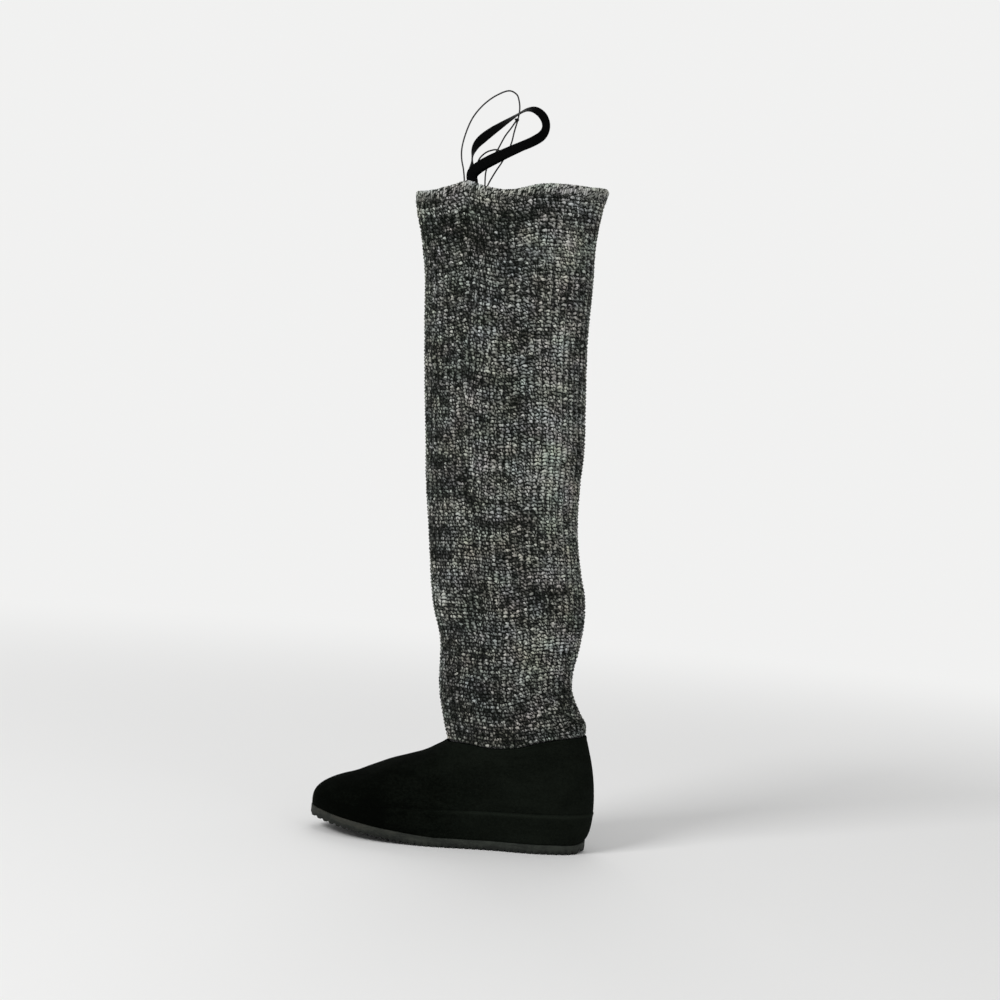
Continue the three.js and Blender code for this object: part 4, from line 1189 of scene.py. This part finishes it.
def platform(suede):
    """The wrapped platform, fuller under the seam, with a painted highlight along that full edge where it
    catches the light.
    """
    foot = Foot(PLATFORM_TURNS)
    top = foot.seam_lengths(0)
    side = foot.rows(np.zeros(PLATFORM_TURNS), top, PLATFORM_ROWS, 0.4)
    normals = grid_normals(side)
    row = np.arange(PLATFORM_ROWS)
    below = row[::-1]  # the seam
    turned = SEAM_TURN * seam_fade(side)
    edge = np.exp(-(((below - 3.0) / 1.8) ** 2))
    swell = turned * WRAP_SWELL * edge - (TOE_SEAM_TURN + turned) * np.exp(-below / 1.2)
    swell = swell - EDGE_TURN * np.exp(-row)
    side = crease(side, normals) + normals * swell[..., None]
    half = PLATFORM_TURNS // 2

    def sections(grid):
        """From heel to toe, sections that go up the outer side and down the inner one."""
        inner = np.concatenate([grid[:1], grid[half:][::-1]])
        return np.concatenate([grid[: half + 1], inner[:, ::-1]], axis=1)

    faces = quads(half + 1, 2 * PLATFORM_ROWS, wrap_columns=True)
    # painted highlight: lighter along the full edge under the seam, where it catches the light
    look = {"values": {"painted_highlight": sections(turned * (0.5 + 4.0 * edge))}, "sharp": 50}
    add_piece("suede_platform", sections(side), faces, suede, "suede", "platform", merge=True, **look)


# ------------------------------------------------------------------ the outsole
def outsole(rubber):
    """Cross-sections from heel to toe, closer together where the ribs turn and where the ends close."""
    foot = Foot(OUTSOLE_TURNS)
    point, outward = foot.feather()
    edge = point + outward * OUTSOLE_LIP
    first, last = edge[:, 0].min() + 1e-3, edge[:, 0].max() - 1e-3
    slope = (RIB_PITCH - RIB_LAND - RIB_ROOT) / 2
    ribs = np.arange(-1, int(last / RIB_PITCH) + 2)[:, None] * RIB_PITCH
    profile_x = (ribs + [0, RIB_LAND, RIB_LAND + slope, RIB_PITCH - slope]).ravel()
    profile_z = (sole_bottom(ribs) + [0, 0, RIB_DEPTH, RIB_DEPTH]).ravel()
    stations = [profile_x + off for off in (-0.4, -0.13, 0.13, 0.4)]
    ends = (1 - np.cos(np.linspace(0, np.pi / 2, END_SECTIONS))) * END_REACH
    x = np.unique(np.round(np.concatenate([*stations, first + ends, last - ends]), 3))
    x = np.concatenate([[first], x[(x > first + 0.02) & (x < last - 0.02)], [last]])
    x = x[np.concatenate([[True], np.diff(x) > 0.04])]

    def side_y(side):
        side = side[np.argsort(side[:, 0])]
        return np.interp(x, side[:, 0], side[:, 1])

    half = OUTSOLE_TURNS // 2
    y_out, y_in = side_y(edge[: half + 1]), side_y(np.concatenate([edge[half:], edge[:1]]))
    offsets = np.linspace(-RIB_ROUNDING, RIB_ROUNDING, 5)
    low = np.mean([np.interp(x + off, profile_x, profile_z) for off in offsets], axis=0)
    high = sole_top(x)
    wide, middle = (y_out - y_in) / 2, (y_out + y_in) / 2
    radius = np.minimum(OUTSOLE_RADIUS, wide * 0.8)
    arc = np.linspace(0, np.pi / 2, 5)[:, None]
    curl, lift = radius * (1 - np.sin(arc)), radius * (1 - np.cos(arc))
    hollow = np.array([[0.3], [0.5], [0.7]])  # its rows, as shares of the side's height
    inset = np.concatenate([curl, np.tile(SIDE_HOLLOW * np.minimum(wide, 1), (3, 1)), curl[::-1]])
    z = np.concatenate([low + lift, low + (high - low) * hollow, (high - lift)[::-1]])
    y = middle + np.concatenate([wide - inset, (inset - wide)[::-1]])
    z = np.concatenate([z, z[::-1]])
    points = np.stack([np.broadcast_to(x, y.shape), y, z], axis=-1).transpose(1, 0, 2)
    faces = quads(len(x), len(y), wrap_columns=True)
    values = {"rise": (points[..., 2] - low[:, None]) / (high - low)[:, None]}
    piece = add_piece("rubber_outsole", points, faces, rubber, "rubber", "outsole", values=values, sharp=45)
    rework(piece.data, close_ends)


# ------------------------------------------------------------------ the boot
camera()
threads(thread_material())
studio()
ribbon(ribbon_material())
yarn = yarn_material()
knit(yarn)
hem(yarn)
hairs(hair_material())
# painted shade: the ground behind the ribs is near black, where the ribs keep the light from it
behind = ground_material("knit_ground", (0.012, 0.013, 0.012))
ground(behind, ground_material("knit_inside", (0.13, 0.135, 0.125)))
suede = suede_material()
lining = lining_material()
upper(suede)
platform(suede)
outsole(rubber_material())
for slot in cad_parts["insole"].material_slots:
    slot.material = lining
